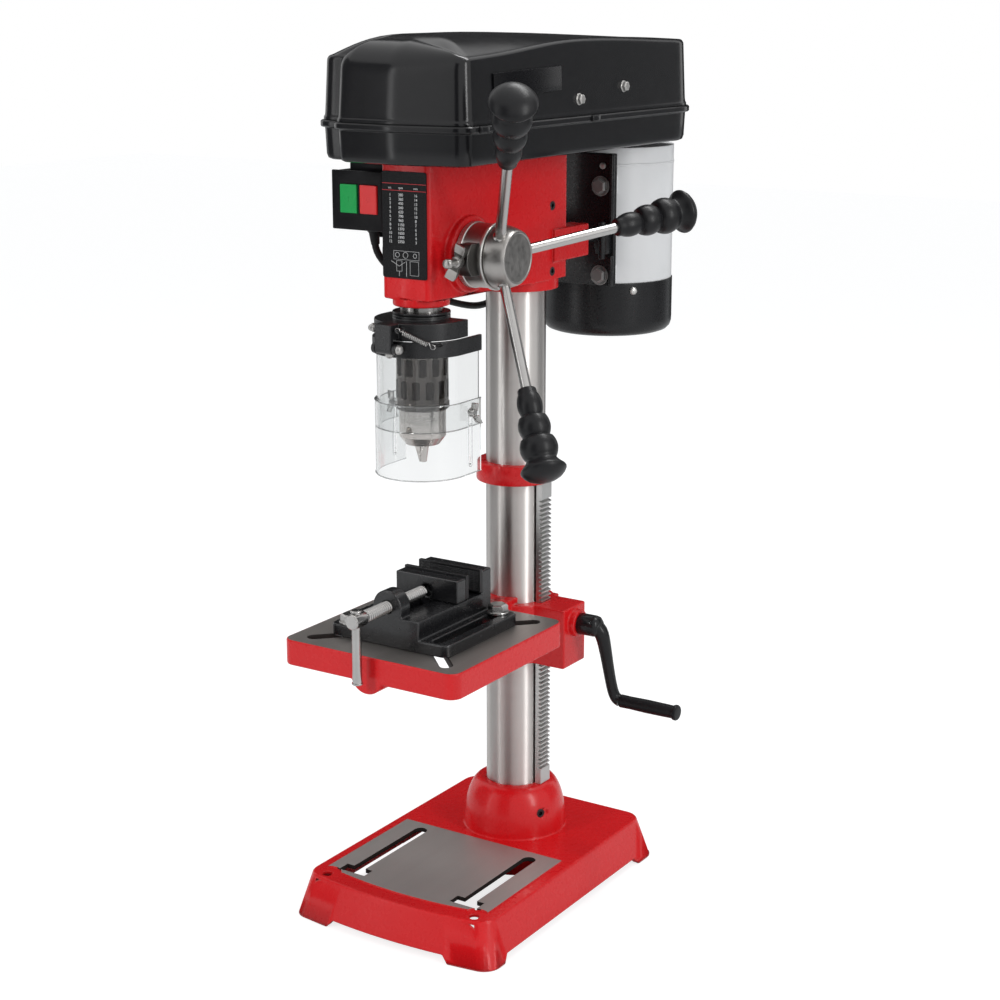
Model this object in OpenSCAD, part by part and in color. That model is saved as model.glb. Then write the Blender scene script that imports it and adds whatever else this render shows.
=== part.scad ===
// Bench drill press with tilting table, vise, quill feed, chuck guard and belt drive.
// Origin on the bench under the column's axis. The operator stands at -Y, the feed handles are at +X.

/* [Base] */
// Width of the base's top
base_w = 216; // [200:2:240]
// From the column's axis to the base's front edge
base_front = 230; // [224:2:250]
// From the column's axis to the base's rear edge
base_back = 85; // [78:1:100]
// Height of the base's painted top
base_h = 44; // [38:1:56]
// How far the feet stand out past the top on each side
base_draft = 11; // [4:1:14]
// Corner radius of the base
base_corner = 18; // [10:1:24]
// How far the middle of the front edge stands ahead of its corners
base_bulge = 8; // [2:1:12]
// Wall of the base casting
base_wall = 7; // [5:0.5:9]
// Height of the ground pad above the paint
pad_h = 1.5; // [1:0.5:3]
// Width of the ground pad
pad_w = 192; // [170:2:196]
// Radius of the bench bolt holes
bench_hole_r = 5; // [3:0.5:6]
// Radius of the column socket's dome
dome_r = 54; // [50:1:60]
// Height of the dome's top
dome_top = 96; // [90:1:106]

/* [Column] */
// Diameter of the column
col_d = 60; // [56:0.5:62]
// Wall of the column tube
col_wall = 5; // [3:0.5:8]
// Height of the collar's underside
collar_z = 420; // [416:1:440]
// Height of the collar
collar_h = 20; // [14:1:26]
// Wall of the collar
collar_wall = 10; // [9:0.5:12]
// Width of the rack
rack_w = 18; // [16:0.5:20]
// Thickness of the rack over its teeth
rack_t = 7; // [6:0.25:8]

/* [Table] */
// Height of the table's ground top
table_z = 303; // [297:1:310]
// Width of the table
table_w = 199; // [190:1:210]
// Depth of the table, front to back
table_d = 193; // [186:1:194]
// Height of the table's skirt
table_h = 25; // [22:0.5:30]
// Thickness of the table's top
table_top_t = 8; // [6:0.5:9]
// Wall of the table's skirt
table_wall = 8; // [5:0.5:10]
// Corner radius of the table
table_corner = 12; // [6:1:18]
// Width of the table's diagonal slots
table_slot_w = 11; // [10.6:0.2:13]
// Height of the bracket's clamp sleeve
bracket_h = 62; // [58:1:66]
// Wall of the bracket's clamp sleeve
bracket_wall = 11; // [9:0.5:13]
// Length of the crank arm, shaft to grip
crank_len = 83; // [70:1:88]
// Length of the crank grip
grip_len = 62; // [50:1:72]

/* [Vise] */
// Width of the vise jaws
jaw_w = 72; // [60:1:76]
// Height of the vise jaws above the table
jaw_h = 55; // [50:1:58]
// Gap between the vise jaws at rest
jaw_gap = 20; // [10:1:26]
// Thickness of the steel jaw plates
jaw_plate_t = 4; // [3:0.5:6]
// Radius of the vise screw
vise_screw_r = 6; // [5:0.25:7]
// Length of the vise screw's tommy bar
bar_len = 72; // [64:1:76]

/* [Head] */
// Height of the head's underside at the column
head_z = 616; // [606:1:640]
// Height of the head casting
head_h = 135; // [132:1:142]
// From the column's axis to the spindle's axis
throat = 164; // [160:1:168]
// Width of the head's front face
head_front_w = 54; // [50:1:60]
// Width of the head at the column
head_back_w = 84; // [80:1:92]
// Diameter of the quill
quill_d = 40; // [39:0.25:42]
// Travel of the quill
quill_travel = 50; // [30:1:55]
// Diameter of the spindle
spindle_d = 16; // [14:0.5:17]

/* [Feed] */
// Radius of the depth ring
depth_r = 30; // [28:0.5:33]
// Radius of the feed hub
hub_r = 24; // [22:0.5:26]
// Diameter of the handle rods
rod_d = 10; // [8:0.5:12]
// Reach of a handle from the hub's centre to its end
handle_len = 216; // [200:1:225]
// Length of a handle's grip
handle_grip_len = 97; // [80:1:105]
// Lean of the handles away from the head
handle_lean = 23.5; // [18:0.5:26]

/* [Chuck and guard] */
// Radius of the chuck body
chuck_r = 22; // [21.5:0.25:24]
// Length of the chuck body
chuck_len = 92; // [86:1:98]
// Radius of a chuck jaw
chuck_jaw_r = 3.6; // [3:0.1:4]
// Outer radius of the guard's ring
guard_r = 46; // [44:0.5:50]
// Thickness of the clear shields
shield_t = 2; // [1.5:0.25:2.5]
// Height of the upper clear shield
shield_h = 78; // [70:1:84]
// Height of the lower clear shield
lower_shield_h = 70; // [66:1:72]
// Wire diameter of the guard's spring
spring_wire = 1; // [0.8:0.1:1.2]
// Number of curls in the guard's spring
spring_curls = 14; // [8:1:16]

/* [Motor and cover] */
// From the column's axis to the motor's axis
motor_y = 184; // [182:1:188]
// Radius of the motor
motor_r = 68; // [62:1:70]
// Width of the cover's rim
cover_w = 180; // [174:2:188]
// From the column's axis to the front of the cover's rim
cover_front = 220; // [214:1:224]
// From the column's axis to the rear of the cover's rim
cover_back = 224; // [222:1:236]
// Height of the cover's tray
tray_h = 35; // [30:1:38]
// Height of the cover's lid
lid_h = 77; // [74:1:90]
// Wall of the cover's shells
cover_wall = 3; // [2:0.25:4]
// Width of the switch box
switch_w = 57; // [57:1:66]
// Height of the switch box
switch_h = 54; // [50:1:60]
// Travel of the switch buttons
button_travel = 3; // [1:0.5:4]

/* [Hidden] */
$fn = 64;

// Clearances: a running fit, a seat that touches nothing, and an overshoot for cuts
fit = 0.06;
seat = 0.3;
over = 1;

// Colours
paint_red = [0.80, 0.07, 0.06];
steel = [0.72, 0.72, 0.70];
dark_steel = [0.30, 0.29, 0.28];
chrome = [0.85, 0.85, 0.86];
black = [0.08, 0.08, 0.08];
clear = [0.85, 0.90, 0.92, 0.35];

// Base
col_r = col_d / 2;
socket_floor = 8;
socket_wall = 13;
socket_r = col_r + socket_wall;
dome_lip = 6;
foot_relief = 7;
foot_bevel = 6;
foot_front = 47;
foot_side = 37;
pad_top = base_h + pad_h;
pad_front = 18;
pad_back = -dome_r - 9;
bench_hole_x = base_w / 2 - 20;
bench_hole_y = -base_front + base_bulge + 10;
bench_boss_r = bench_hole_r + 9;
base_slot_x = 67;
base_slot_w = 14;
base_slot_head = 31;
base_slot_head_len = 14;
base_slot_y0 = -base_front + 37;
base_slot_y1 = pad_back - 17;
base_slot_web = 4.5;
base_slot_rim = 18;

// Column, collar and rack. The rack's pitch line is one module inside its tips
gear_module = 1.5;
gear_teeth = 18;
tooth_pitch = PI * gear_module;
gear_pitch_r = gear_module * gear_teeth / 2;
addendum = gear_module;
dedendum = 1.25 * gear_module;
lash = 0.2;
pressure = 20;
collar_r = col_r + collar_wall;
rack_x0 = col_r + 0.4;
rack_x1 = rack_x0 + rack_t;
rack_pitch_x = rack_x1 - addendum;
rack_z0 = dome_top + seat;
rack_z1 = collar_z - seat;
rack_plain = 14;
rack_room = 0.4;

// Table bracket. The tilt axis runs along Y at tilt_z, the gear axis along Y at gear_x, gear_z
bracket_top = table_z - 8;
bracket_z = bracket_top - bracket_h;
bracket_r = col_r + bracket_wall;
tilt_z = table_z - 19;
tilt_boss_r = 18;
tilt_stud_r = 7;
table_back = -(bracket_r + 26);
table_front = table_back - table_d;
table_y = (table_back + table_front) / 2;
tilt_face = table_back + seat;
tilt_boss_len = 44;
tilt_nut_r = 10;
tilt_nut_h = 8;
worm_r = 8.5;
worm_mesh = 0.3;
crank_z = table_z - 25;
gear_x = rack_pitch_x + gear_pitch_r;
gear_z = crank_z - worm_r - gear_pitch_r - worm_mesh;
gear_w = 9;
gear_pin_r = 5;
gear_tip_r = gear_pitch_r + addendum;
gear_room = 0.8;
worm_len = 20;
worm_x0 = gear_x - worm_len / 2;
worm_tip_r = worm_r + addendum;
box_x1 = gear_x + gear_tip_r + 7;
box_half = rack_w / 2 + 12;
shaft_r = 8;
crank_boss_r = 14;
crank_boss_x = box_x1 + 7;
crank_hub_r = 11;
crank_hub_x1 = crank_boss_x + 24;
crank_arm_t = 10;
crank_arm_x = max(crank_hub_x1 - crank_arm_t + 4, table_w / 2 + 5);
crank_lean = asin((crank_arm_x + crank_arm_t - crank_hub_x1) / crank_len);
crank_hang = 168;
crank_pin_r = 4;
crank_eye_r = 9;
crank_end_y = crank_len * sin(180 - crank_hang);
crank_end_z = crank_z + crank_len * cos(crank_hang);
grip_r = 7;
lock_y = bracket_r + 11;
lock_z = crank_z - 9;
lock_r = 5;
lock_ear = 12;
slit = 3;
lock_head_r = 9;
lock_bar_r = 3.5;
lock_bar_len = 56;

// Vise, on the table's centre, with its screw along Y
vise_y = table_y;
vise_flange_w = 136;
vise_flange_len = 124;
vise_flange_t = 12;
vise_bed_t = 30;
vise_flange_z = table_z + vise_flange_t;
vise_bed_z = table_z + vise_bed_t;
vise_back = vise_y + vise_flange_len / 2;
vise_front = vise_y - vise_flange_len / 2;
vise_bolt_x = 51;
vise_bolt_r = 5;
bolt_af = 17;
bolt_head_h = 7;
washer_t = 2;
washer_r = 11;
fixed_jaw_t = 16;
fixed_face = vise_back - fixed_jaw_t;
moving_face = fixed_face - 2 * jaw_plate_t - jaw_gap;
moving_jaw_t = 15;
jaw_top = table_z + jaw_h;
plate_z0 = vise_bed_z + 2;
jaw_slide_gap = 0.3;
vise_screw_z = table_z + 39;
nut_boss_t = 16;
nut_boss_r = 16;
keeper_w = 14;
keeper_h = 8;
screw_socket = 10;
screw_head_r = vise_screw_r + 1.5;
screw_head_len = 18;
screw_head_back = 10;
bar_r = 4.5;
knob_r = 5.4;
knob_h = 2;
bar_reach = 13;
bar_y = table_front - bar_reach;
screw_head_y = bar_y + screw_head_back;

// Head. Its roof carries the spindle pulley's sleeve
head_top = head_z + head_h;
head_roof = 13;
nose_z = head_z + 3;
body_z = head_z + 10;
spindle_y = -throat;
quill_r = quill_d / 2;
nose_wall = 6.5;
head_front = spindle_y - quill_r - 5;
feed_y = spindle_y + quill_r - addendum + gear_pitch_r;
feed_z = head_z + 48.5;
clamp_r = head_back_w / 2;
head_back = 30;
head_corner = 6;
journal_r = gear_tip_r + 0.5;
tail_r = 8;
boss_r = journal_r + 20;
boss_x = head_back_w / 2 - 6;
pinion_w = 20;
pocket_y0 = feed_y + journal_r + 7;
pocket_y1 = -col_r - 12;
pocket_wall = 8;
lug_y1 = 66;
lug_x = head_back_w / 2 - 8;
lug_z = head_z + 43;
lug_w = 22;
lug_h = 32;
motor_rod_r = 6;
idler_pivot_y = (pocket_y0 + pocket_y1) / 2;
idler_pin_r = 6;
idler_boss_len = 26;
switch_pad_x = -head_back_w / 2;
plate_t = 0.8;
plate_w = 49;
plate_h = 100;
plate_z = head_z + 30;

// Quill and spindle. Everything below hangs from the quill
quill_out = 27;
quill_z = nose_z - quill_out;
quill_top = head_top - head_roof - 3;
quill_bore_r = spindle_d / 2 + 4;
bearing_r = spindle_d / 2 + 8;
bearing_h = 12;
spindle_r = spindle_d / 2;
spindle_top = head_top + 82;
rack_cut_z0 = feed_z - 14;
rack_cut_z1 = feed_z + quill_travel + 8;

// Chuck
chuck_top = quill_z - 12;
chuck_z = chuck_top - chuck_len;
sleeve_wall = 2.6;
sleeve_r = chuck_r + sleeve_wall;
sleeve_z = chuck_z + 34;
sleeve_top = chuck_top - 3;
jaw_lean = 15;
jaw_out = 17;
jaw_len = 44;
jaw_travel = 22;
jaw_room = 0.08;
jaw_part = 0.2;
arbor_r = spindle_r + 1;
arbor_len = 24;
chuck_cone = 8;
chuck_cone_in = 6;
key_hole_r = 3.5;

// Guard
guard_z = quill_z - 16;
guard_ring_h = 15;
guard_top = guard_z + guard_ring_h;
guard_wall = 3.5;
guard_back = 32;
clamp_back = 12;
clamp_ring_r = quill_r + 7;
clamp_ring_z = quill_z + 10;
clamp_ring_h = 9;
housing_r = guard_r - 2;
housing_wall = 3;
housing_z = guard_top + 0.5;
housing_h = 16;
shield_r = guard_r - guard_wall - seat;
shield_top = guard_z + 8;
shield_bottom = shield_top - shield_h;
lower_r = shield_r + seat;
lower_z = quill_z - 131;
lower_top = lower_z + lower_shield_h;
lower_travel = 40;
hinge_y = spindle_y - guard_r - 5.6;
hinge_z = guard_z + 9;
hinge_r = 2;
hinge_eye_r = 5;
hinge_x0 = -13;
hinge_x1 = 5;
knuckle_w = 4;
knuckle_gap = 0.4;
slot_back = 14;
slot_w = 4.6;
slot_screw_r = 1.8;
slot_screw_z = lower_top - 11;
slot_len = lower_travel + 8;

// Guard's tension spring, from a peg on the housing to a peg on the ring
spring_r = 2.2;
spring_lead = 5;
spring_a = [9, spindle_y - guard_r - 5, housing_z + 11];
spring_b = [guard_r - 8, spindle_y - guard_r + 9, guard_top - 3];
spring_rings = 8;
spring_sides = 6;
peg_r = 1.6;
spring_hook = 1.7;
peg_out_a = 3;
peg_out_b = 1.9;

// Feed hub and depth ring, along X from the head's boss
depth_x0 = boss_x + seat;
depth_x1 = depth_x0 + 29;
hub_x0 = depth_x1 + seat;
hub_x1 = hub_x0 + 19;
hub_sleeve_r = 18;
hub_bore_r = 10;
handle_x = hub_x0 + 8;
handle_phase = 9;
rod_start = 15;
rod_sink = 40;
clamp_lug_w = 12;
clamp_lug_len = 30;
clamp_lug_reach = 15;
clamp_screw_r = 3;

// Return spring and cap on the feed shaft's left end
cap_r = 24;
cap_len = 16;
cap_wall = 2.5;
cap_x = -boss_x;
spiral_turns = 5;
spiral_t = 0.7;
spiral_steps = 24;

// Switch box
switch_x1 = cap_x - cap_len - 1;
switch_x0 = switch_x1 - switch_w;
switch_y0 = spindle_y + 14;
switch_depth = 44;
switch_y1 = switch_y0 + switch_depth;
switch_z1 = head_top - 15;
switch_z0 = switch_z1 - switch_h;
switch_wall = 2.5;
button_w = 20;
button_h = 27;
button_out = 4;
button_gap = 3;
button_z = switch_z0 + 15;
button_fit = 0.3;
button_shift = 3;
button_x = (switch_x0 + switch_x1) / 2 + button_shift;
button_stem = 6;

// Motor
motor_plate_y = motor_y - motor_r - 8;
motor_plate_t = 5;
motor_plate_w = 100;
motor_plate_z0 = head_z - 10;
motor_plate_z1 = head_top - 10;
motor_foot_w = 60;
motor_top = head_top - 6;
motor_cap_top = head_z - 10;
motor_cap_h = 57;
motor_cap_wall = 3;
motor_bolt_x = 34;
motor_bolt_r = 4;
motor_bolt_head_r = 8;
motor_bolt_z = [motor_plate_z0 + 11, motor_plate_z1 - 33];
motor_shaft_r = 7;
motor_nose_r = 24;
motor_slide = 8;
motor_slide_back = 4;
terminal_x = motor_r + 20;
terminal_y0 = motor_y - 22;
terminal_y1 = motor_y + 22;
terminal_z0 = motor_cap_top + 34;
terminal_z1 = terminal_z0 + 48;

// Pulleys: four steps from the bottom up, and the belts between them
step_h = 12;
pulley_z = head_top + 16;
spindle_steps = [20, 23.5, 27, 30.5];
idler_steps = [44, 40.5, 37, 33.5];
motor_steps = [14, 17.5, 21, 24.5];
groove_d = 5;
groove_w = 9;
groove_in = 7.4;
belt_w = 6.6;
belt_h = 4.2;
pulley_sleeve_r = 14;
pulley_sleeve_z = head_top - head_roof + 1;
idler_y = 14;
idler_arm_z = head_top + 6;
idler_arm_t = 6;
idler_arm_w = 20;
idler_post_r = 7;
idler_swing = 6;

// Cover
rim_z = head_top + tray_h;
rim_t = 3;
rim_out = 4;
cover_corner_front = 24;
cover_corner_back = 46;
lid_z = rim_z + 0.5;
lid_top = rim_z + lid_h;
tray_floor = 3;
lid_shoulder = 57;
lid_lean = 9;
lid_foot = 3;
crest_inset = 30;
crest_front = 52;
crest_drop = 9;
lid_hinge_x = -cover_w / 2 - 5;
lid_hinge_z = rim_z;
lid_pin_r = 2;
lid_eye_r = 4.5;
lid_hinge_at = [-80, 90];
lid_eye_w = 14;
lid_ear_w = 5;

// Motor cable, from the switch box's underside to the motor's terminal box
cable_r = 3.5;
cable_sides = 10;
cable_middle = [
  [-80, -128, 58], [-78, -122, 38], [-70, -98, 14], [-60, -62, -5], [-54, -26, -18], [-52, 12, -25],
  [-56, 52, -22], [-64, 86, -10], [-72, 114, 10], [-76, 136, 32], [-76, 150, 39]
];
cable_route = concat(
  [[-80, -128, switch_z0 - seat]],
  [for (p = cable_middle) p + [0, 0, head_z]],
  [[-76, terminal_y0 - seat, head_z + 40]]
);

// Shapes

module box(x0, x1, y0, y1, z0, z1) {
  translate([x0, y0, z0])
    cube([x1 - x0, y1 - y0, z1 - z0]);
}

module z_cyl(r, z0, z1, x = 0, y = 0) {
  translate([x, y, z0])
    cylinder(r = r, h = z1 - z0);
}

module x_cyl(r, x0, x1, y, z) {
  translate([x0, y, z])
    rotate([0, 90, 0])
      cylinder(r = r, h = x1 - x0);
}

module y_cyl(r, y0, y1, x, z) {
  translate([x, y1, z])
    rotate([90, 0, 0])
      cylinder(r = r, h = y1 - y0);
}

// Rectangle with round corners
module round_rect(x0, x1, y0, y1, r) {
  translate([x0 + r, y0])
    square([x1 - x0 - 2 * r, y1 - y0]);
  translate([x0, y0 + r])
    square([x1 - x0, y1 - y0 - 2 * r]);
  for (x = [x0 + r, x1 - r], y = [y0 + r, y1 - r])
    translate([x, y])
      circle(r);
}

// Straight slot with round ends, which are a hair narrower than the slot
module slot(from, to, w) {
  along = to - from;
  translate(from)
    rotate(atan2(along[1], along[0])) {
      translate([0, -w / 2])
        square([norm(along), w]);
      for (x = [0, norm(along)])
        translate([x, 0])
          circle(w / 2 - 0.05);
    }
}

// Hexagonal head or nut, given its width across flats
module hex(af, h) {
  cylinder(d = af / cos(30), h = h, $fn = 6);
}

// Involute gear outline with a tooth on its +X axis
function involute(a) = tan(a) * 180 / PI - a;
function tooth_half(r, rp, rb, n) =
  90 / n - lash / rp * 90 / PI + involute(pressure) - (r > rb ? involute(acos(rb / r)) : 0);
function gear_points(n, m) =
  let (
    rp = n * m / 2,
    rb = rp * cos(pressure),
    radii = [rp - 1.25 * m, rb, rp - m / 4, rp + m / 3, rp + m]
  )
  [
    for (k = [0 : n - 1], side = [-1, 1], i = [0 : 4])
      let (
        r = side < 0 ? radii[i] : radii[4 - i],
        a = k * 360 / n + side * tooth_half(r, rp, rb, n)
      )
      r * [cos(a), sin(a)]
  ];

// One gap of a straight rack, centred at zero along Y, opening towards +X at x = 0
module rack_gap() {
  half_tip = tooth_pitch / 4 + addendum * tan(pressure);
  half_root = tooth_pitch / 4 - dedendum * tan(pressure);
  deep = addendum + dedendum;
  polygon([[-deep, -half_root], [0, -half_tip], [over, -half_tip], [over, half_tip], [0, half_tip],
    [-deep, half_root]]);
}

// Worm thread: one start, its crest at angle zero
function worm_radius(a) =
  let (
    s = abs(a > 180 ? a - 360 : a) / 360 * tooth_pitch,
    flank = (s - 0.35) / tan(pressure)
  )
  min(worm_tip_r, max(worm_r - dedendum, worm_tip_r - flank));
module worm_thread(len) {
  linear_extrude(height = len, twist = -360 * len / tooth_pitch, slices = round(14 * len / tooth_pitch))
    polygon([for (a = [0 : 18 : 342]) worm_radius(a) * [cos(a), sin(a)]]);
}

// U-shaped outline about the spindle: half round in front, straight sides to the back
module u_outline(r, back) {
  translate([0, spindle_y]) {
    difference() {
      circle(r);
      translate([-r - over, 0])
        square(2 * r + 2 * over);
    }
    translate([-r, -over])
      square([2 * r, back + over]);
  }
}

// Open-backed U wall
module u_wall(r, wall, back, z0, z1) {
  translate([0, 0, z0])
    linear_extrude(z1 - z0)
      difference() {
        u_outline(r, back);
        u_outline(r - wall, back + over);
      }
}

// Tube swept along points, each with its own direction
function unit(v) = v / norm(v);
function tangent(p, i) =
  unit(i == 0 ? p[1] - p[0] : i == len(p) - 1 ? p[i] - p[i - 1] : p[i + 1] - p[i - 1]);
function across(d) = unit(cross(d, abs(d[2]) < 0.9 ? [0, 0, 1] : [1, 0, 0]));
function carried(p, i, n) =
  i == 0 ? n : let (d = tangent(p, i), before = carried(p, i - 1, n)) unit(before - d * (before * d));
module tube(p, r, sides) {
  first = across(tangent(p, 0));
  points = [
    for (i = [0 : len(p) - 1])
      let (d = tangent(p, i), u = carried(p, i, first), v = cross(d, u))
      for (k = [0 : sides - 1]) p[i] + r * (cos(360 * k / sides) * u + sin(360 * k / sides) * v)
  ];
  faces = concat(
    [
      for (i = [0 : len(p) - 2], k = [0 : sides - 1])
        let (a = i * sides + k, b = i * sides + (k + 1) % sides)
        [a, a + sides, b]
    ],
    [
      for (i = [0 : len(p) - 2], k = [0 : sides - 1])
        let (a = i * sides + k, b = i * sides + (k + 1) % sides)
        [b, a + sides, b + sides]
    ],
    [for (k = [1 : sides - 2]) [0, k, k + 1]],
    [for (k = [1 : sides - 2]) let (e = (len(p) - 1) * sides) [e, e + k + 1, e + k]]
  );
  polyhedron(points, faces);
}

// Smooth route through hand-chosen points
function route_point(p, i) = p[max(0, min(len(p) - 1, i))];
function smooth(p, steps) = concat(
  [
    for (i = [0 : len(p) - 2], s = [0 : steps - 1])
      let (
        t = s / steps,
        a = route_point(p, i - 1),
        b = p[i],
        c = p[i + 1],
        d = route_point(p, i + 2)
      )
      (2 * b + (c - a) * t + (2 * a - 5 * b + 4 * c - d) * t * t
        + (3 * b - a - 3 * c + d) * t * t * t) / 2
  ],
  [p[len(p) - 1]]
);

// Base

module base_slab(grow, z0, z1, draft) {
  hull()
    for (level = [[z0, grow + draft], [z1 - 0.1, grow]])
      translate([0, 0, level[0]])
        linear_extrude(0.1) {
          half = base_w / 2 + level[1];
          front = base_front + level[1];
          back = base_back + level[1];
          for (x = [-1, 1], y = [-front + base_bulge + base_corner, back - base_corner])
            translate([x * (half - base_corner), y])
              circle(base_corner, $fn = 32);
          polygon([
            for (i = [-6 : 6])
              let (x = i / 6 * (half - base_corner))
              [x, -front + base_bulge * pow(i / 6, 2)]
          ]);
        }
}

module base_slot() {
  union() {
    slot([base_slot_x, base_slot_y0], [base_slot_x, base_slot_y1], base_slot_w);
    translate([base_slot_x - base_slot_head / 2, base_slot_y0 - base_slot_head_len / 2])
      square([base_slot_head, base_slot_head_len]);
  }
}

module base_pad() {
  difference() {
    intersection() {
      translate([-pad_w / 2, -base_front])
        square([pad_w, base_front + pad_back]);
      translate([0, 2 * base_w - base_front + pad_front])
        circle(2 * base_w, $fn = 128);
    }
    for (side = [-1, 1])
      translate([side * bench_hole_x, bench_hole_y])
        circle(bench_boss_r);
  }
}

// Gap with sloping ends that lifts a side of the base between its feet
module foot_gap(from, to) {
  polygon([[from, -over], [from, 0], [from + foot_bevel, foot_relief], [to - foot_bevel, foot_relief],
    [to, 0], [to, -over]]);
}

module base() {
  length = base_front + base_back + 2 * base_draft;
  gap_x = base_w / 2 + base_draft - foot_front;
  gap_front = -base_front - base_draft + foot_side;
  gap_back = base_back + base_draft - foot_side;
  color(paint_red)
    difference() {
      union() {
        base_slab(0, 0, base_h, base_draft);
        translate([0, 0, base_h - over])
          linear_extrude(pad_h + over)
            base_pad();
        rotate_extrude()
          polygon(concat(
            [[0, base_h - over], [dome_r, base_h - over]],
            [
              for (a = [0 : 9 : 90])
                [
                  col_r + dome_lip + (dome_r - col_r - dome_lip) * cos(a),
                  base_h + (dome_top - base_h) * sin(a)
                ]
            ],
            [[0, dome_top]]
          ));
      }
      difference() {
        base_slab(-base_wall, -over, base_h - base_wall, base_draft);
        z_cyl(socket_r, -2 * over, base_h);
        for (side = [-1, 1])
          z_cyl(bench_boss_r, -2 * over, base_h, side * bench_hole_x, bench_hole_y);
      }
      difference() {
        union() {
          translate([-base_w, 0, 0])
            rotate([90, 0, 90])
              linear_extrude(2 * base_w)
                foot_gap(gap_front, gap_back);
          translate([0, length, 0])
            rotate([90, 0, 0])
              linear_extrude(2 * length)
                foot_gap(-gap_x, gap_x);
        }
        z_cyl(socket_r, -2 * over, base_h);
      }
      z_cyl(col_r + fit, socket_floor, dome_top + over);
      for (side = [0, 1])
        mirror([side, 0, 0]) {
          z_cyl(bench_hole_r, -over, pad_top + over, bench_hole_x, bench_hole_y);
          translate([0, 0, -over])
            linear_extrude(pad_top + 2 * over)
              base_slot();
          box(base_slot_x - base_slot_rim, base_slot_x + base_slot_rim, base_slot_y0 - 3, base_slot_y1 + 3,
            -over, pad_top - base_slot_web);
        }
      set_screw_hole(dome_screw);
    }
}

// Set screws: height, direction about the column, where they end, and the axis's distance to each side
screw_r = 4;
dome_screw = [(base_h + dome_top) / 2, -26, dome_r - 3];
collar_screw = [collar_z + collar_h / 2, 90, collar_r - 1];
head_screw_low = [head_z + 18, 0, clamp_r - 1];
head_screw_high = [head_z + 82, 0, clamp_r - 1];

module set_screw(s, r, from, to) {
  translate([0, 0, s[0]])
    rotate([0, 90, s[1]])
      translate([0, 0, from])
        cylinder(r = r, h = to - from);
}

module set_screw_hole(s) {
  set_screw(s, screw_r, col_r - over, s[2] + 20);
}

module set_screws() {
  color(black)
    for (s = [dome_screw, collar_screw, head_screw_low, head_screw_high])
      set_screw(s, screw_r - fit, col_r + fit, s[2]);
}

module column() {
  color(steel)
    difference() {
      z_cyl(col_r, socket_floor, head_top - head_roof - seat);
      z_cyl(col_r - col_wall, socket_floor - over, head_top);
    }
}

module rack_collar() {
  color(paint_red)
    difference() {
      rotate_extrude()
        polygon([[col_r + fit, collar_z], [collar_r - 1, collar_z], [collar_r, collar_z + 1],
          [collar_r, collar_z + collar_h - 1], [collar_r - 1, collar_z + collar_h],
          [col_r + fit, collar_z + collar_h]]);
      set_screw_hole(collar_screw);
    }
}

// Table lift

module table_rack() {
  gaps = floor((rack_z1 - rack_z0 - 2 * rack_plain) / tooth_pitch / 2);
  color(steel)
    difference() {
      box(rack_x0, rack_x1, -rack_w / 2, rack_w / 2, rack_z0, rack_z1);
      for (i = [-gaps : gaps]) {
        z = gear_z + i * tooth_pitch;
        if (z > rack_z0 + rack_plain && z < rack_z1 - rack_plain)
          translate([rack_x1, rack_w / 2 + over, z])
            rotate([90, 0, 0])
              linear_extrude(rack_w + 2 * over)
                rack_gap();
      }
    }
}

module table_bracket() {
  color(paint_red)
    difference() {
      union() {
        z_cyl(bracket_r, bracket_z, bracket_top);
        box(0, box_x1, -box_half, box_half, bracket_z, bracket_top);
        x_cyl(crank_boss_r, box_x1 - over, crank_boss_x, 0, crank_z);
        box(-tilt_boss_r, tilt_boss_r, tilt_face + 10, 0, tilt_z - tilt_boss_r, tilt_z + tilt_boss_r);
        y_cyl(tilt_boss_r + 1, tilt_face, tilt_face + 12, 0, tilt_z);
        box(-lock_ear - slit, lock_ear + slit, 0, lock_y + 11, lock_z - 14, lock_z + 14);
      }
      z_cyl(col_r + fit, bracket_z - over, max(bracket_top, tilt_z + tilt_boss_r) + over);
      box(0, rack_x1 + rack_room, -rack_w / 2 - rack_room, rack_w / 2 + rack_room, bracket_z - over,
        bracket_top + over);
      y_cyl(gear_tip_r + gear_room, -gear_w / 2 - gear_room, gear_w / 2 + gear_room, gear_x, gear_z);
      x_cyl(worm_tip_r + gear_room, col_r, worm_x0 + worm_len + gear_room, 0, crank_z);
      x_cyl(shaft_r + fit, col_r, crank_boss_x + over, 0, crank_z);
      y_cyl(gear_pin_r + fit, -box_half - over, box_half + over, gear_x, gear_z);
      box(-slit, slit, 0, lock_y + 20, bracket_z - over, bracket_top + over);
      x_cyl(lock_r + fit, -lock_ear - 20, lock_ear + 20, lock_y, lock_z);
      y_cyl(tilt_stud_r + fit, tilt_face - over, -col_r - 6, 0, tilt_z);
    }
}

// Stud fixed in the bracket, and its nut under the table
module tilt_bolt() {
  nut_y = table_back - tilt_boss_len - seat;
  color(dark_steel) {
    y_cyl(tilt_stud_r, nut_y - tilt_nut_h - 3, -col_r - 8, 0, tilt_z);
    translate([0, nut_y, tilt_z])
      rotate([90, 0, 0])
        cylinder(r = tilt_nut_r, h = tilt_nut_h, $fn = 6);
  }
}

module lock_lever() {
  head_x = lock_ear + slit + seat;
  color(chrome)
    union() {
      x_cyl(lock_r, -lock_ear - slit - 8, head_x + over, lock_y, lock_z);
      x_cyl(lock_head_r, head_x, head_x + 16, lock_y, lock_z);
      translate([head_x + 10, lock_y, lock_z])
        rotate([200, 0, 0])
          translate([0, 0, -lock_bar_len / 4])
            cylinder(r = lock_bar_r, h = lock_bar_len);
    }
}

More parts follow.
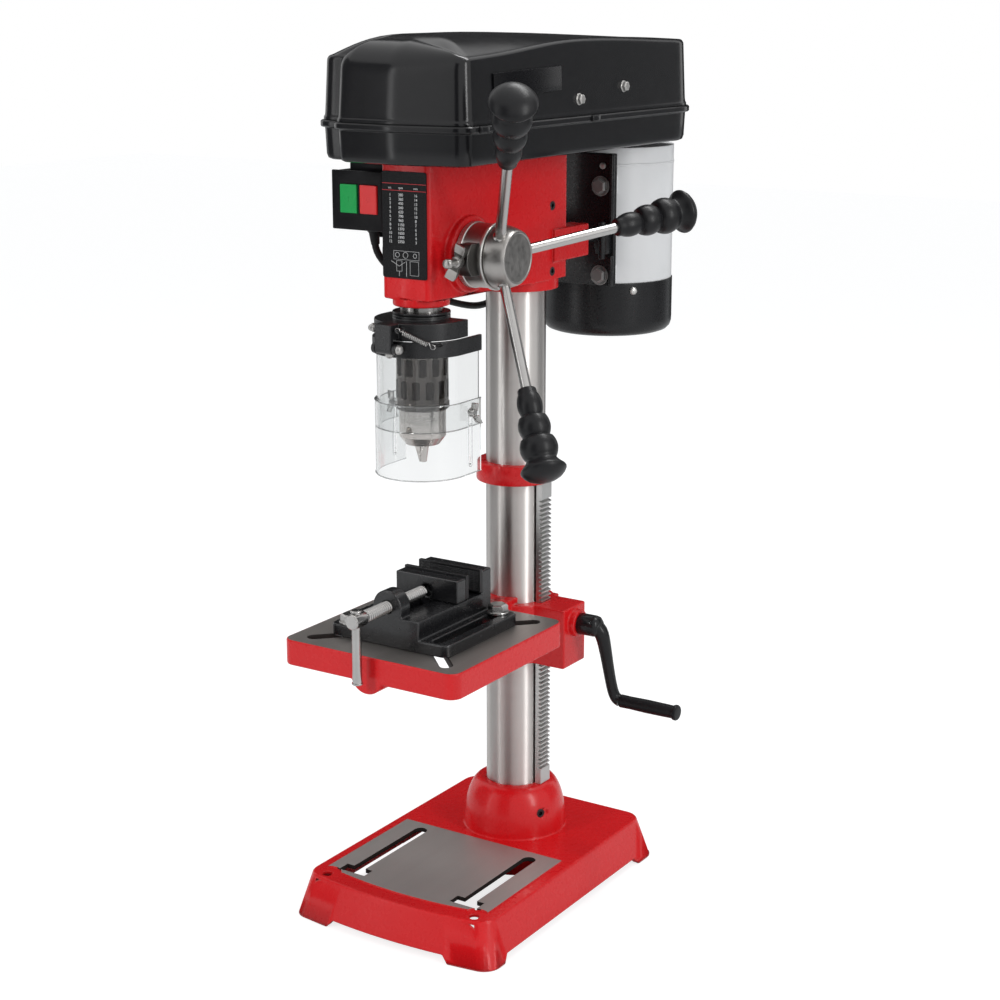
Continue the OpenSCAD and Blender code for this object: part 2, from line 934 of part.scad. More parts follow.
// Gear that meshes with the worm above it and with the rack beside it
module lift_gear() {
  color(dark_steel)
    translate([gear_x, 0, gear_z])
      rotate([90, 0, 0]) {
        translate([0, 0, -gear_w / 2])
          linear_extrude(gear_w)
            rotate(180)
              polygon(gear_points(gear_teeth, gear_module));
        translate([0, 0, -box_half])
          cylinder(r = gear_pin_r, h = 2 * box_half);
      }
}

module crank_worm() {
  turn = 360 * worm_len / 2 / tooth_pitch;
  color(dark_steel)
    union() {
      translate([worm_x0, 0, crank_z])
        rotate([0, 90, 0])
          rotate(-turn)
            worm_thread(worm_len);
      x_cyl(shaft_r, worm_x0 + worm_len - 0.01, crank_hub_x1 - 3, 0, crank_z);
    }
}

module crank_arm() {
  hub_x0 = crank_boss_x + seat;
  arm = [0, crank_end_y, crank_end_z - crank_z];
  color(black)
    difference() {
      union() {
        x_cyl(crank_hub_r, hub_x0, crank_hub_x1, 0, crank_z);
        x_cyl(crank_eye_r, crank_arm_x, crank_arm_x + crank_arm_t + 2, crank_end_y, crank_end_z);
        translate([crank_hub_x1, 0, crank_z])
          rotate([90 - crank_hang, 0, 0])
            rotate(-crank_lean)
              translate([-crank_arm_t, 0, -crank_eye_r + 1.5])
                cube([crank_arm_t, crank_len, 2 * crank_eye_r - 3]);
        x_cyl(crank_pin_r, crank_arm_x, crank_arm_x + crank_arm_t + 2 + seat + grip_len, crank_end_y,
          crank_end_z);
      }
      x_cyl(shaft_r + fit, hub_x0 - over, crank_hub_x1 - 3 + fit, 0, crank_z);
    }
}

module crank_grip() {
  x0 = crank_arm_x + crank_arm_t + 2 + seat;
  cap = 4;
  color(black)
    difference() {
      union() {
        x_cyl(grip_r, x0, x0 + grip_len, crank_end_y, crank_end_z);
        x_cyl(grip_r + 1, x0 + grip_len, x0 + grip_len + cap, crank_end_y, crank_end_z);
      }
      x_cyl(crank_pin_r + fit, x0 - over, x0 + grip_len + seat, crank_end_y, crank_end_z);
    }
}

// Table

module table_slot(dx, dy) {
  near = 30;
  far = 76;
  slot([dx * near, table_y + dy * near], [dx * far, table_y + dy * far], table_slot_w);
}

module table_top() {
  half = table_w / 2;
  under = table_z - table_h;
  color(paint_red)
    difference() {
      union() {
        difference() {
          translate([0, 0, under])
            linear_extrude(table_h)
              round_rect(-half, half, table_front, table_back, table_corner);
          box(-half + table_wall, half - table_wall, table_front + table_wall, table_back - table_wall,
            under - over, table_z - table_top_t);
        }
        y_cyl(tilt_boss_r, table_back - tilt_boss_len, table_back, 0, tilt_z);
        y_cyl(tilt_boss_r, table_front, table_front + 24, 0, tilt_z);
      }
      y_cyl(tilt_stud_r + fit, table_back - tilt_boss_len - over, table_back + over, 0, tilt_z);
      for (dx = [-1, 1], dy = [-1, 1])
        translate([0, 0, under])
          linear_extrude(table_h + over)
            table_slot(dx, dy);
    }
}

// Vise

module vise_body() {
  color(black)
    difference() {
      union() {
        translate([0, 0, table_z])
          linear_extrude(vise_flange_t)
            round_rect(-vise_flange_w / 2, vise_flange_w / 2, vise_front, vise_back, 8);
        box(-jaw_w / 2, jaw_w / 2, vise_front, vise_back, table_z, vise_bed_z);
        box(-jaw_w / 2, jaw_w / 2, fixed_face, vise_back, table_z, jaw_top - 2);
        y_cyl(nut_boss_r, vise_front, vise_front + nut_boss_t, 0, vise_screw_z);
        box(-nut_boss_r, nut_boss_r, vise_front, vise_front + nut_boss_t, table_z, vise_screw_z);
      }
      for (side = [-1, 1])
        translate([0, 0, table_z - over])
          linear_extrude(vise_flange_t + 2 * over)
            slot([side * vise_bolt_x, vise_front + 11], [side * vise_bolt_x, vise_back - 11],
              2 * vise_bolt_r + 1.4);
      box(-keeper_w / 2 - jaw_slide_gap, keeper_w / 2 + jaw_slide_gap, vise_front + nut_boss_t, fixed_face,
        vise_bed_z - keeper_h - jaw_slide_gap, vise_bed_z + over);
      y_cyl(vise_screw_r + fit, vise_front - over, vise_front + nut_boss_t + over, 0, vise_screw_z);
    }
}

module jaw_plate(y0) {
  color(dark_steel)
    box(-jaw_w / 2, jaw_w / 2, y0, y0 + jaw_plate_t, plate_z0, jaw_top);
}

module vise_fixed_plate() {
  jaw_plate(fixed_face - jaw_plate_t);
}

module vise_moving_plate() {
  jaw_plate(moving_face);
}

module vise_jaw() {
  y1 = moving_face;
  y0 = y1 - moving_jaw_t;
  color(black)
    difference() {
      union() {
        box(-jaw_w / 2, jaw_w / 2, y0, y1, vise_bed_z + jaw_slide_gap, jaw_top - 2);
        box(-keeper_w / 2, keeper_w / 2, y0, y1, vise_bed_z - keeper_h, vise_bed_z + over);
      }
      y_cyl(vise_screw_r + fit, y0 - over, y0 + screw_socket + seat, 0, vise_screw_z);
    }
}

module vise_screw() {
  inner = moving_face - moving_jaw_t + screw_socket;
  color(chrome)
    difference() {
      union() {
        y_cyl(vise_screw_r, screw_head_y - over, inner, 0, vise_screw_z);
        y_cyl(screw_head_r, screw_head_y - screw_head_len, screw_head_y, 0, vise_screw_z);
      }
      z_cyl(bar_r + fit, vise_screw_z - 2 * screw_head_r, vise_screw_z + 2 * screw_head_r, 0, bar_y);
    }
}

// Tommy bar, hanging by its upper knob
module vise_bar() {
  top = vise_screw_z + screw_head_r + seat + knob_h;
  color(chrome)
    union() {
      z_cyl(bar_r, top - bar_len, top, 0, bar_y);
      z_cyl(knob_r, top - knob_h, top, 0, bar_y);
      z_cyl(knob_r, top - bar_len, top - bar_len + knob_h, 0, bar_y);
    }
}

// Two bolts through the flange slots and the table's slots, with washers and nuts
module vise_bolts() {
  color(chrome)
    for (side = [-1, 1])
      translate([side * vise_bolt_x, table_y + side * vise_bolt_x, 0])
        union() {
          z_cyl(washer_r, vise_flange_z, vise_flange_z + washer_t);
          translate([0, 0, vise_flange_z + washer_t])
            hex(bolt_af, bolt_head_h);
          z_cyl(vise_bolt_r, table_z - table_top_t - bolt_head_h - 4, vise_flange_z + over);
          translate([0, 0, table_z - table_top_t - bolt_head_h])
            hex(bolt_af, bolt_head_h);
        }
}

// Head

module head_plan() {
  front = head_front_w / 2;
  back = head_back_w / 2;
  hull() {
    for (side = [-1, 1]) {
      translate([side * (front - head_corner), head_front + head_corner])
        circle(head_corner, $fn = 32);
      translate([side * (back - head_corner), -col_r])
        circle(head_corner, $fn = 32);
      translate([side * (back - head_corner), head_back - head_corner])
        circle(head_corner, $fn = 32);
    }
  }
}

module head_casting() {
  roof = head_top - head_roof;
  color(paint_red)
    difference() {
      union() {
        translate([0, 0, body_z])
          linear_extrude(head_top - body_z)
            head_plan();
        z_cyl(quill_r + nose_wall, nose_z, body_z + over, 0, spindle_y);
        z_cyl(clamp_r, head_z, roof);
        x_cyl(boss_r, 0, boss_x, feed_y, feed_z);
        x_cyl(cap_r + 3, cap_x, 0, feed_y, feed_z);
        for (side = [-1, 1])
          box(side * lug_x - lug_w / 2, side * lug_x + lug_w / 2, 0, lug_y1, lug_z - lug_h / 2,
            lug_z + lug_h / 2);
        box(switch_pad_x, 0, switch_y0 + 10, switch_y1 - 4, switch_z0 + 18, switch_z1 - 4);
      }
      z_cyl(col_r + fit, head_z - over, roof);
      z_cyl(quill_r + fit, nose_z - over, roof, 0, spindle_y);
      z_cyl(pulley_sleeve_r + fit, roof - over, head_top + over, 0, spindle_y);
      x_cyl(journal_r + fit, -pinion_w / 2 - seat, boss_x + over, feed_y, feed_z);
      x_cyl(tail_r + fit, cap_x - over, 0, feed_y, feed_z);
      difference() {
        box(-head_back_w / 2 + pocket_wall + 4, head_back_w / 2 - pocket_wall - 4, pocket_y0, pocket_y1,
          head_z - over, roof);
        z_cyl(idler_pin_r + 6, head_top - idler_boss_len, head_top, 0, idler_pivot_y);
      }
      z_cyl(idler_pin_r + fit, head_top - idler_boss_len - over, head_top + over, 0, idler_pivot_y);
      for (side = [-1, 1])
        y_cyl(motor_rod_r + fit, head_back, lug_y1 + over, side * lug_x, lug_z);
      set_screw_hole(head_screw_low);
      set_screw_hole(head_screw_high);
    }
}

module speed_plate() {
  color(black)
    box(-plate_w / 2, plate_w / 2, head_front - plate_t, head_front, plate_z, plate_z + plate_h);
}

module spring_cap() {
  color(black)
    difference() {
      x_cyl(cap_r, cap_x - cap_len, cap_x, feed_y, feed_z);
      x_cyl(cap_r - cap_wall, cap_x - cap_len + cap_wall, cap_x + over, feed_y, feed_z);
    }
}

// Flat spiral spring, from the shaft to the cap
module return_spring() {
  r0 = tail_r + 0.4;
  r1 = cap_r - cap_wall - 0.4 - spiral_t;
  steps = spiral_turns * spiral_steps;
  color(dark_steel)
    translate([cap_x - cap_len + cap_wall + 1.5, feed_y, feed_z])
      rotate([90, 0, 90])
        linear_extrude(cap_len - cap_wall - 3)
          polygon(concat(
            [
              for (i = [0 : steps])
                let (a = 360 * i / spiral_steps, r = r0 + (r1 - r0) * i / steps)
                r * [cos(a), sin(a)]
            ],
            [
              for (i = [steps : -1 : 0])
                let (a = 360 * i / spiral_steps, r = r0 + (r1 - r0) * i / steps + spiral_t)
                r * [cos(a), sin(a)]
            ]
          ));
}

// Switch

module button_window(side) {
  x = button_x + side * (button_gap + button_w) / 2;
  box(x - button_w / 2 - button_fit, x + button_w / 2 + button_fit, switch_y0 - over,
    switch_y0 + switch_wall + over, button_z - button_fit, button_z + button_h + button_fit);
}

module switch_box() {
  color(black)
    difference() {
      union() {
        box(switch_x0, switch_x1, switch_y0, switch_y1, switch_z0, switch_z1);
        box(switch_x1 - over, switch_pad_x, switch_y0 + 10, switch_y1 - 4, switch_z0 + 18, switch_z1 - 4);
      }
      box(switch_x0 + switch_wall, switch_x1 - switch_wall, switch_y0 + switch_wall,
        switch_y1 - switch_wall, switch_z0 + switch_wall, switch_z1 - switch_wall);
      for (side = [-1, 1])
        button_window(side);
    }
}

module switch_button(side) {
  x = button_x + side * (button_gap + button_w) / 2;
  flange = switch_y0 + switch_wall + seat;
  box(x - button_w / 2, x + button_w / 2, switch_y0 - button_out, flange + over, button_z,
    button_z + button_h);
  box(x - button_w / 2 - 0.9, x + button_w / 2 + 0.9, flange, flange + button_stem, button_z - 0.9,
    button_z + button_h + 0.9);
}

module start_button() {
  color([0.05, 0.55, 0.25])
    union()
      switch_button(-1);
}

module stop_button() {
  color([0.85, 0.10, 0.10])
    union()
      switch_button(1);
}

module motor_cable() {
  color(black)
    tube(smooth(cable_route, 3), cable_r, cable_sides);
}

// Quill and guard

module quill() {
  color(steel)
    difference() {
      z_cyl(quill_r, quill_z, quill_top, 0, spindle_y);
      z_cyl(quill_bore_r, quill_z - over, quill_top + over, 0, spindle_y);
      z_cyl(bearing_r + fit, quill_z - over, quill_z + bearing_h, 0, spindle_y);
      z_cyl(bearing_r + fit, quill_top - bearing_h, quill_top + over, 0, spindle_y);
      for (i = [floor((rack_cut_z0 - feed_z) / tooth_pitch) : floor((rack_cut_z1 - feed_z) / tooth_pitch)])
        translate([-pinion_w / 2 - 1, spindle_y + quill_r, feed_z + i * tooth_pitch])
          rotate([90, 0, 90])
            linear_extrude(pinion_w + 2)
              rack_gap();
    }
}

module quill_bearings() {
  color(chrome)
    for (z = [quill_z, quill_top - bearing_h])
      difference() {
        z_cyl(bearing_r, z, z + bearing_h, 0, spindle_y);
        z_cyl(spindle_r + fit, z - over, z + bearing_h + over, 0, spindle_y);
      }
}

// Housing that clamps on the quill's lower end, with the hinge lug in front
module guard_clamp() {
  roof_z = housing_z + housing_h - housing_wall;
  color(black)
    difference() {
      union() {
        u_wall(housing_r, housing_wall, clamp_back, housing_z, housing_z + housing_h);
        translate([0, 0, roof_z])
          linear_extrude(housing_wall)
            u_outline(housing_r, clamp_back);
        z_cyl(clamp_ring_r, clamp_ring_z, clamp_ring_z + clamp_ring_h, 0, spindle_y);
        x_cyl(hinge_eye_r, hinge_x0, hinge_x1, hinge_y, hinge_z);
        box(hinge_x0, hinge_x1, hinge_y - hinge_eye_r, hinge_y, hinge_z, housing_z + housing_h);
        box(hinge_x0, hinge_x1, hinge_y - hinge_eye_r, spindle_y - housing_r + 6, housing_z + 2,
          housing_z + housing_h);
        translate(spring_a - [0, peg_out_a, 0])
          rotate([-90, 0, 0])
            cylinder(r = peg_r, h = 14 + peg_out_a);
      }
      z_cyl(quill_r + fit, guard_z, clamp_ring_z + 40, 0, spindle_y);
      x_cyl(hinge_r + fit, hinge_x0 - over, hinge_x1 + over, hinge_y, hinge_z);
    }
}

// Where a slot screw passes the shields' straight sides, looking outwards
module at_slot(side) {
  translate([0, spindle_y + slot_back, 0])
    rotate(side > 0 ? 0 : 180)
      children();
}

module guard_ring() {
  color(black)
    difference() {
      union() {
        u_wall(guard_r, guard_wall, guard_back, guard_z, guard_top);
        for (x = [hinge_x0 - knuckle_gap - knuckle_w, hinge_x1 + knuckle_gap]) {
          x_cyl(hinge_eye_r, x, x + knuckle_w, hinge_y, hinge_z);
          box(x, x + knuckle_w, hinge_y, spindle_y - guard_r + 7, hinge_z - hinge_eye_r, hinge_z + 4);
        }
        translate(spring_b - [0, peg_out_b, 0])
          rotate([-90, 0, 0])
            cylinder(r = peg_r, h = 18 + peg_out_b);
      }
      u_outline_cut();
      x_cyl(hinge_r + fit, hinge_x0 - 2 * knuckle_w, hinge_x1 + 2 * knuckle_w, hinge_y, hinge_z);
    }
}

// Clears the pegs and knuckles from the ring's inside
module u_outline_cut() {
  translate([0, 0, guard_z - over])
    linear_extrude(guard_ring_h + 2 * over)
      u_outline(guard_r - guard_wall, guard_back + over);
}

module guard_shield() {
  color(clear)
    difference() {
      u_wall(shield_r, shield_t, guard_back, shield_bottom, shield_top);
      for (side = [-1, 1])
        at_slot(side)
          x_cyl(slot_screw_r + fit, 0, 2 * guard_r, 0, slot_screw_z);
    }
}

module guard_lower_shield() {
  color(clear)
    difference() {
      u_wall(lower_r + shield_t, shield_t, guard_back, lower_z, lower_top);
      for (side = [-1, 1])
        at_slot(side)
          rotate([90, 0, 90])
            linear_extrude(2 * guard_r)
              slot([0, slot_screw_z], [0, slot_screw_z - slot_len], slot_w);
    }
}

// Hinge bolt and the two shield screws with their thumb heads
module guard_screws() {
  head = 2.5;
  out = lower_r + shield_t + seat;
  hinge_end = hinge_x1 + knuckle_gap + knuckle_w + seat;
  color(chrome) {
    union() {
      x_cyl(hinge_r, hinge_x0 - knuckle_gap - knuckle_w, hinge_end + over, hinge_y, hinge_z);
      x_cyl(2 * hinge_r, hinge_end, hinge_end + head, hinge_y, hinge_z);
    }
    for (side = [-1, 1])
      at_slot(side)
        union() {
          x_cyl(slot_screw_r, shield_r - shield_t - 2, out + over, 0, slot_screw_z);
          x_cyl(slot_w, out, out + 5, 0, slot_screw_z);
          x_cyl(slot_w, shield_r - shield_t - 3, shield_r - shield_t - seat, 0, slot_screw_z);
        }
  }
}

// Points of the spring's wire: a straight lead, the curls, and a straight lead
spring_axis = unit(spring_b - spring_a);
spring_u = across(spring_axis);
spring_v = cross(spring_axis, spring_u);
spring_span = norm(spring_b - spring_a) - 2 * spring_lead;
spring_pitch = spring_span / spring_curls;
spring_wire_points = concat(
  [
    for (i = [0, 1])
      spring_a + spring_axis * (spring_hook + i * spring_wire) + spring_u * spring_r
  ],
  [
    for (i = [0 : spring_curls * spring_rings])
      let (a = 360 * i / spring_rings)
      spring_a + spring_axis * (spring_lead + spring_pitch * i / spring_rings)
        + spring_r * (cos(a) * spring_u + sin(a) * spring_v)
  ],
  [
    for (i = [1, 0])
      spring_b - spring_axis * (spring_hook + i * spring_wire) + spring_u * spring_r
  ]
);
spring_gap = min([
  for (i = [0 : len(spring_wire_points) - 1])
    for (j = [i + spring_rings / 2 : len(spring_wire_points) - 1])
      norm(spring_wire_points[i] - spring_wire_points[j])
]) - spring_wire;

module guard_spring() {
  echo(least_gap_between_curls = spring_gap);
  color(chrome)
    tube(spring_wire_points, spring_wire / 2, spring_sides);
}

// Spindle and chuck

module spindle() {
  color(steel)
    union() {
      z_cyl(spindle_r, chuck_top, spindle_top, 0, spindle_y);
      z_cyl(arbor_r, chuck_top - arbor_len, quill_z - seat, 0, spindle_y);
    }
}

// A jaw's own axis: through the spindle's axis at the jaw tips, leaning outwards going up
module on_jaw(k) {
  translate([0, spindle_y, chuck_z - jaw_out])
    rotate(120 * k - 30)
      rotate([0, jaw_lean, 0])
        children();
}

module chuck_body() {
  cone_z = chuck_z + chuck_cone;
  color(steel)
    difference() {
      translate([0, spindle_y, 0])
        rotate_extrude()
          polygon([[0, chuck_z], [chuck_r - chuck_cone_in, chuck_z], [chuck_r, cone_z],
            [chuck_r, chuck_top], [0, chuck_top]]);
      z_cyl(arbor_r + fit, chuck_top - arbor_len, chuck_top + over, 0, spindle_y);
      for (k = [0 : 2]) {
        on_jaw(k)
          cylinder(r = chuck_jaw_r + jaw_room, h = jaw_len + jaw_travel + 1);
        translate([0, spindle_y, chuck_z + 16])
          rotate(120 * k + 30)
            x_cyl(key_hole_r, chuck_r - 8, chuck_r + over, 0, 0);
      }
      z_cyl(chuck_jaw_r + 1, chuck_z - over, chuck_z + 34, 0, spindle_y);
    }
}

module chuck_sleeve() {
  color(dark_steel)
    translate([0, spindle_y, 0])
      rotate_extrude()
        polygon([[chuck_r + fit, sleeve_z], [sleeve_r + 0.8, sleeve_z], [sleeve_r + 0.8, sleeve_z + 6],
          [sleeve_r, sleeve_z + 7], [sleeve_r, sleeve_top - 1], [sleeve_r - 1, sleeve_top],
          [chuck_r + fit, sleeve_top]]);
}

// One jaw, cut to its third about the spindle's axis
module chuck_jaw(k) {
  color(chrome)
    intersection() {
      on_jaw(k)
        cylinder(r = chuck_jaw_r, h = jaw_len);
      translate([0, spindle_y, 0])
        rotate(120 * k - 30)
          translate([jaw_part, 0, 0])
            linear_extrude(head_z)
              polygon([[0, 0], [40, -69], [40, 69]]);
    }
}

module chuck_jaw_1() {
  chuck_jaw(0);
}

module chuck_jaw_2() {
  chuck_jaw(1);
}

module chuck_jaw_3() {
  chuck_jaw(2);
}

// Feed

module feed_shaft() {
  color(steel)
    union() {
      translate([-pinion_w / 2, feed_y, feed_z])
        rotate([90, 0, 90])
          linear_extrude(pinion_w)
            rotate(180)
              polygon(gear_points(gear_teeth, gear_module));
      x_cyl(gear_pitch_r - dedendum - 0.5, 0, pinion_w / 2 + 3, feed_y, feed_z);
      x_cyl(journal_r, pinion_w / 2 + 2, boss_x, feed_y, feed_z);
      x_cyl(hub_bore_r, boss_x - over, hub_x1 - 5, feed_y, feed_z);
      x_cyl(tail_r, cap_x - cap_len + cap_wall + seat, over - pinion_w / 2, feed_y, feed_z);
    }
}

// A handle's own axis, from the hub's centre outwards
module on_handle(k) {
  translate([handle_x, feed_y, feed_z])
    rotate([handle_phase + 120 * k - 90, 0, 0])
      rotate([0, handle_lean, 0])
        children();
}

module feed_hub() {
  color(steel)
    difference() {
      translate([0, feed_y, feed_z])
        rotate([0, 90, 0])
          rotate_extrude()
            polygon([[0, depth_x0], [hub_sleeve_r, depth_x0], [hub_sleeve_r, hub_x0],
              [hub_r, hub_x0], [hub_r, hub_x1 - 1], [hub_r - 1, hub_x1], [0, hub_x1]]);
      x_cyl(hub_bore_r + fit, depth_x0 - over, hub_x1 - 5 + fit, feed_y, feed_z);
      for (k = [0 : 2])
        on_handle(k)
          translate([0, 0, rod_start])
            cylinder(d = rod_d + 2 * fit, h = hub_r * 2);
    }
}

module feed_rods() {
  color(chrome)
    for (k = [0 : 2])
      on_handle(k)
        translate([0, 0, rod_start])
          cylinder(d = rod_d, h = handle_len - handle_grip_len + rod_sink - rod_start);
}

// Grip: a neck, three swelling ribs and a wide domed end
module feed_grips() {
  neck = 9;
  rib_r = [11.5, 13.5, 15.5];
  end_r = 21;
  end_h = 14;
  rib_zone = handle_grip_len - end_h - 4;
  rib_len = rib_zone / 3;
  waist = 0.75;
  color(black)
    for (k = [0 : 2])
      on_handle(k)
        translate([0, 0, handle_len - handle_grip_len])
          rotate_extrude()
            polygon(concat(
              [[rod_d / 2 + fit, 0], [neck, 0]],
              [
                for (i = [0 : 2], a = [20 : 40 : 160])
                  [rib_r[i] * (waist + (1 - waist) * sin(a)), rib_len * (i + a / 180)]
              ],
              [
                [rib_r[2] * waist, rib_zone], [end_r, handle_grip_len - end_h],
                [end_r, handle_grip_len - end_h + 4], [end_r * 0.7, handle_grip_len - 2],
                [0, handle_grip_len], [0, rod_sink + seat], [rod_d / 2 + fit, rod_sink + seat]
              ]
            ));
}

// Drum with the depth scale, and the split lug that clamps it on the hub
module depth_ring() {
  lug_x = (depth_x0 + depth_x1) / 2 - 4;
  ridge = 1.2;
  color(steel)
    union() {
      translate([0, feed_y, feed_z])
        rotate([0, 90, 0])
          rotate_extrude()
            polygon([[hub_sleeve_r + fit, depth_x0], [depth_r, depth_x0], [depth_r, depth_x1 - 4],
              [depth_r + ridge, depth_x1 - 4], [depth_r + ridge, depth_x1],
              [hub_sleeve_r + fit, depth_x1]]);
      box(lug_x - clamp_lug_w / 2, lug_x + clamp_lug_w / 2, feed_y - depth_r - clamp_lug_reach,
        feed_y - depth_r + 4, feed_z - clamp_lug_len / 2, feed_z + clamp_lug_len / 2);
      y_cyl(clamp_screw_r, feed_y - depth_r - clamp_lug_reach - 14, feed_y - depth_r, lug_x, feed_z);
    }
}

// Motor

module motor_plate() {
  color(black)
    union() {
      difference() {
        box(-motor_plate_w / 2, motor_plate_w / 2, motor_plate_y, motor_plate_y + motor_plate_t,
          motor_plate_z0, motor_plate_z1);
        for (side = [-1, 1], z = motor_bolt_z)
          y_cyl(motor_bolt_r + fit, motor_plate_y - over, motor_plate_y + motor_plate_t + over,
            side * motor_bolt_x, z);
      }
      for (side = [-1, 1])
        y_cyl(motor_rod_r, head_back + motor_slide + 4, motor_plate_y + over, side * lug_x, lug_z);
    }
}

module motor_body() {
  foot_y = motor_plate_y + motor_plate_t;
  color([0.86, 0.87, 0.87])
    difference() {
      union() {
        z_cyl(motor_r, motor_cap_top, motor_top, 0, motor_y);
        for (z = motor_bolt_z)
          box(-motor_bolt_x - 7, motor_bolt_x + 7, foot_y, motor_y, max(z - 9, motor_cap_top), z + 9);
        box(-terminal_x, 0, terminal_y0, terminal_y1, terminal_z0, terminal_z1);
      }
      z_cyl(motor_shaft_r + fit, motor_cap_top - over, motor_top + over, 0, motor_y);
      for (side = [-1, 1], z = motor_bolt_z)
        y_cyl(motor_bolt_r + fit, foot_y - over, foot_y + 16, side * motor_bolt_x, z);
    }
}

module motor_fan_cap() {
  z0 = motor_cap_top - motor_cap_h;
  color(black)
    difference() {
      translate([0, motor_y, 0])
        rotate_extrude()
          polygon([[0, z0], [motor_r - 6, z0], [motor_r + 1, z0 + 7], [motor_r + 1, motor_cap_top],
            [0, motor_cap_top]]);
      z_cyl(motor_r + 1 - motor_cap_wall, z0 + 8, motor_cap_top + over, 0, motor_y);
    }
}

// Round-headed bolts with washers that hold the motor on its plate
module motor_bolts() {
  head = 5;
  color(chrome)
    for (side = [-1, 1], z = motor_bolt_z)
      union() {
        y_cyl(motor_bolt_r, motor_plate_y - over, motor_plate_y + motor_plate_t + 14, side * motor_bolt_x, z);
        y_cyl(motor_bolt_head_r + 2, motor_plate_y - washer_t, motor_plate_y, side * motor_bolt_x, z);
        y_cyl(motor_bolt_head_r, motor_plate_y - washer_t - head, motor_plate_y - washer_t + fit,
          side * motor_bolt_x, z);
      }
}

// Pulleys and belts

function step_z(k) = pulley_z + step_h * k;
function step_points(r, z) = [
  [r, z], [r, z + (step_h - groove_w) / 2], [r - groove_d, z + (step_h - groove_in) / 2],
  [r - groove_d, z + (step_h + groove_in) / 2], [r, z + (step_h + groove_w) / 2], [r, z + step_h]
];
module stepped_pulley(steps, bore, y) {
  translate([0, y, 0])
    rotate_extrude()
      polygon(concat(
        [[bore, step_z(0)]],
        [for (k = [0 : 3]) each step_points(steps[k], step_z(k))],
        [[bore, step_z(4)]]
      ));
}

// Flat outline round two circles on the Y axis, shrunk or grown by the radii given
module belt_outline(r1, y1, r2, y2) {
  lean = asin((r1 - r2) / (y2 - y1));
  translate([0, y1])
    circle(r1);
  translate([0, y2])
    circle(r2);
  polygon([
    [-r1 * cos(lean), y1 + r1 * sin(lean)], [r1 * cos(lean), y1 + r1 * sin(lean)],
    [r2 * cos(lean), y2 + r2 * sin(lean)], [-r2 * cos(lean), y2 + r2 * sin(lean)]
  ]);
}

module belt(r1, y1, r2, y2, k) {
  in1 = r1 - groove_d + seat;
  in2 = r2 - groove_d + seat;
  color(black)
    translate([0, 0, step_z(k) + (step_h - belt_w) / 2])
      linear_extrude(belt_w)
        difference() {
          belt_outline(in1 + belt_h, y1, in2 + belt_h, y2);
          belt_outline(in1, y1, in2, y2);
        }
}

module motor_shaft() {
  color(steel)
    z_cyl(motor_shaft_r, motor_cap_top - motor_cap_h + 14, step_z(4) + 4, 0, motor_y);
}

module motor_pulley() {
  color([0.65, 0.66, 0.68])
    stepped_pulley(motor_steps, motor_shaft_r + fit, motor_y);
}

module spindle_pulley() {
  color([0.65, 0.66, 0.68])
    union() {
      stepped_pulley(spindle_steps, spindle_r + fit, spindle_y);
      difference() {
        z_cyl(pulley_sleeve_r, pulley_sleeve_z, step_z(0) + over, 0, spindle_y);
        z_cyl(spindle_r + fit, pulley_sleeve_z - over, step_z(0) + 2 * over, 0, spindle_y);
      }
    }
}

module idler_arm() {
  color(dark_steel)
    union() {
      z_cyl(idler_pin_r, head_top - idler_boss_len + 2, idler_arm_z + over, 0, idler_pivot_y);
      translate([0, 0, idler_arm_z])
        linear_extrude(idler_arm_t)
          slot([0, idler_pivot_y], [0, idler_y], idler_arm_w);
      z_cyl(idler_post_r, idler_arm_z + over, step_z(4) + 4, 0, idler_y);
    }
}

module idler_pulley() {
  color([0.65, 0.66, 0.68])
    stepped_pulley(idler_steps, idler_post_r + fit, idler_y);
}

module front_belt() {
  belt(spindle_steps[3], spindle_y, idler_steps[3], idler_y, 3);
}

module rear_belt() {
  belt(idler_steps[0], idler_y, motor_steps[0], motor_y, 0);
}

// Cover

// Outline with tighter corners in front than behind
module cover_outline(inset) {
  half = cover_w / 2 - inset;
  round_rect(-half, half, -cover_front + inset, cover_corner_back, cover_corner_front - inset);
  round_rect(-half, half, -cover_corner_back, cover_back - inset, cover_corner_back - inset);
}

module cover_tray() {
  slot_half = motor_nose_r + motor_slide;
  color(black)
    difference() {
      union() {
        translate([0, 0, head_top])
          linear_extrude(tray_h)
            cover_outline(rim_out);
        translate([0, 0, rim_z - rim_t])
          linear_extrude(rim_t)
            cover_outline(0);
        for (y = lid_hinge_at, end = [-1, 1])
          lid_eye(y + end * (lid_eye_w + lid_ear_w + seat) / 2, lid_ear_w, rim_z - 8);
        for (y = lid_hinge_at)
          y_cyl(lid_pin_r, y - lid_eye_w, y + lid_eye_w, lid_hinge_x, lid_hinge_z);
      }
      translate([0, 0, head_top + tray_floor])
        linear_extrude(tray_h)
          cover_outline(rim_out + cover_wall);
      z_cyl(pulley_sleeve_r + 2, head_top - over, head_top + tray_floor + over, 0, spindle_y);
      z_cyl(idler_pin_r + 2, head_top - over, head_top + tray_floor + over, 0, idler_pivot_y);
      translate([0, 0, head_top - over])
        linear_extrude(tray_floor + 2 * over)
          slot([0, motor_y - motor_slide - 2], [0, motor_y + motor_slide + 2], 2 * motor_shaft_r + 4);
    }
}

// Hinge ear at the left edge, between the shell's side and the pin
module lid_eye(y, w, z0) {
  y_cyl(lid_eye_r, y - w / 2, y + w / 2, lid_hinge_x, lid_hinge_z);
  box(lid_hinge_x, -cover_w / 2 + rim_out + 1, y - w / 2, y + w / 2, min(z0, lid_hinge_z),
    max(z0, lid_hinge_z));
}

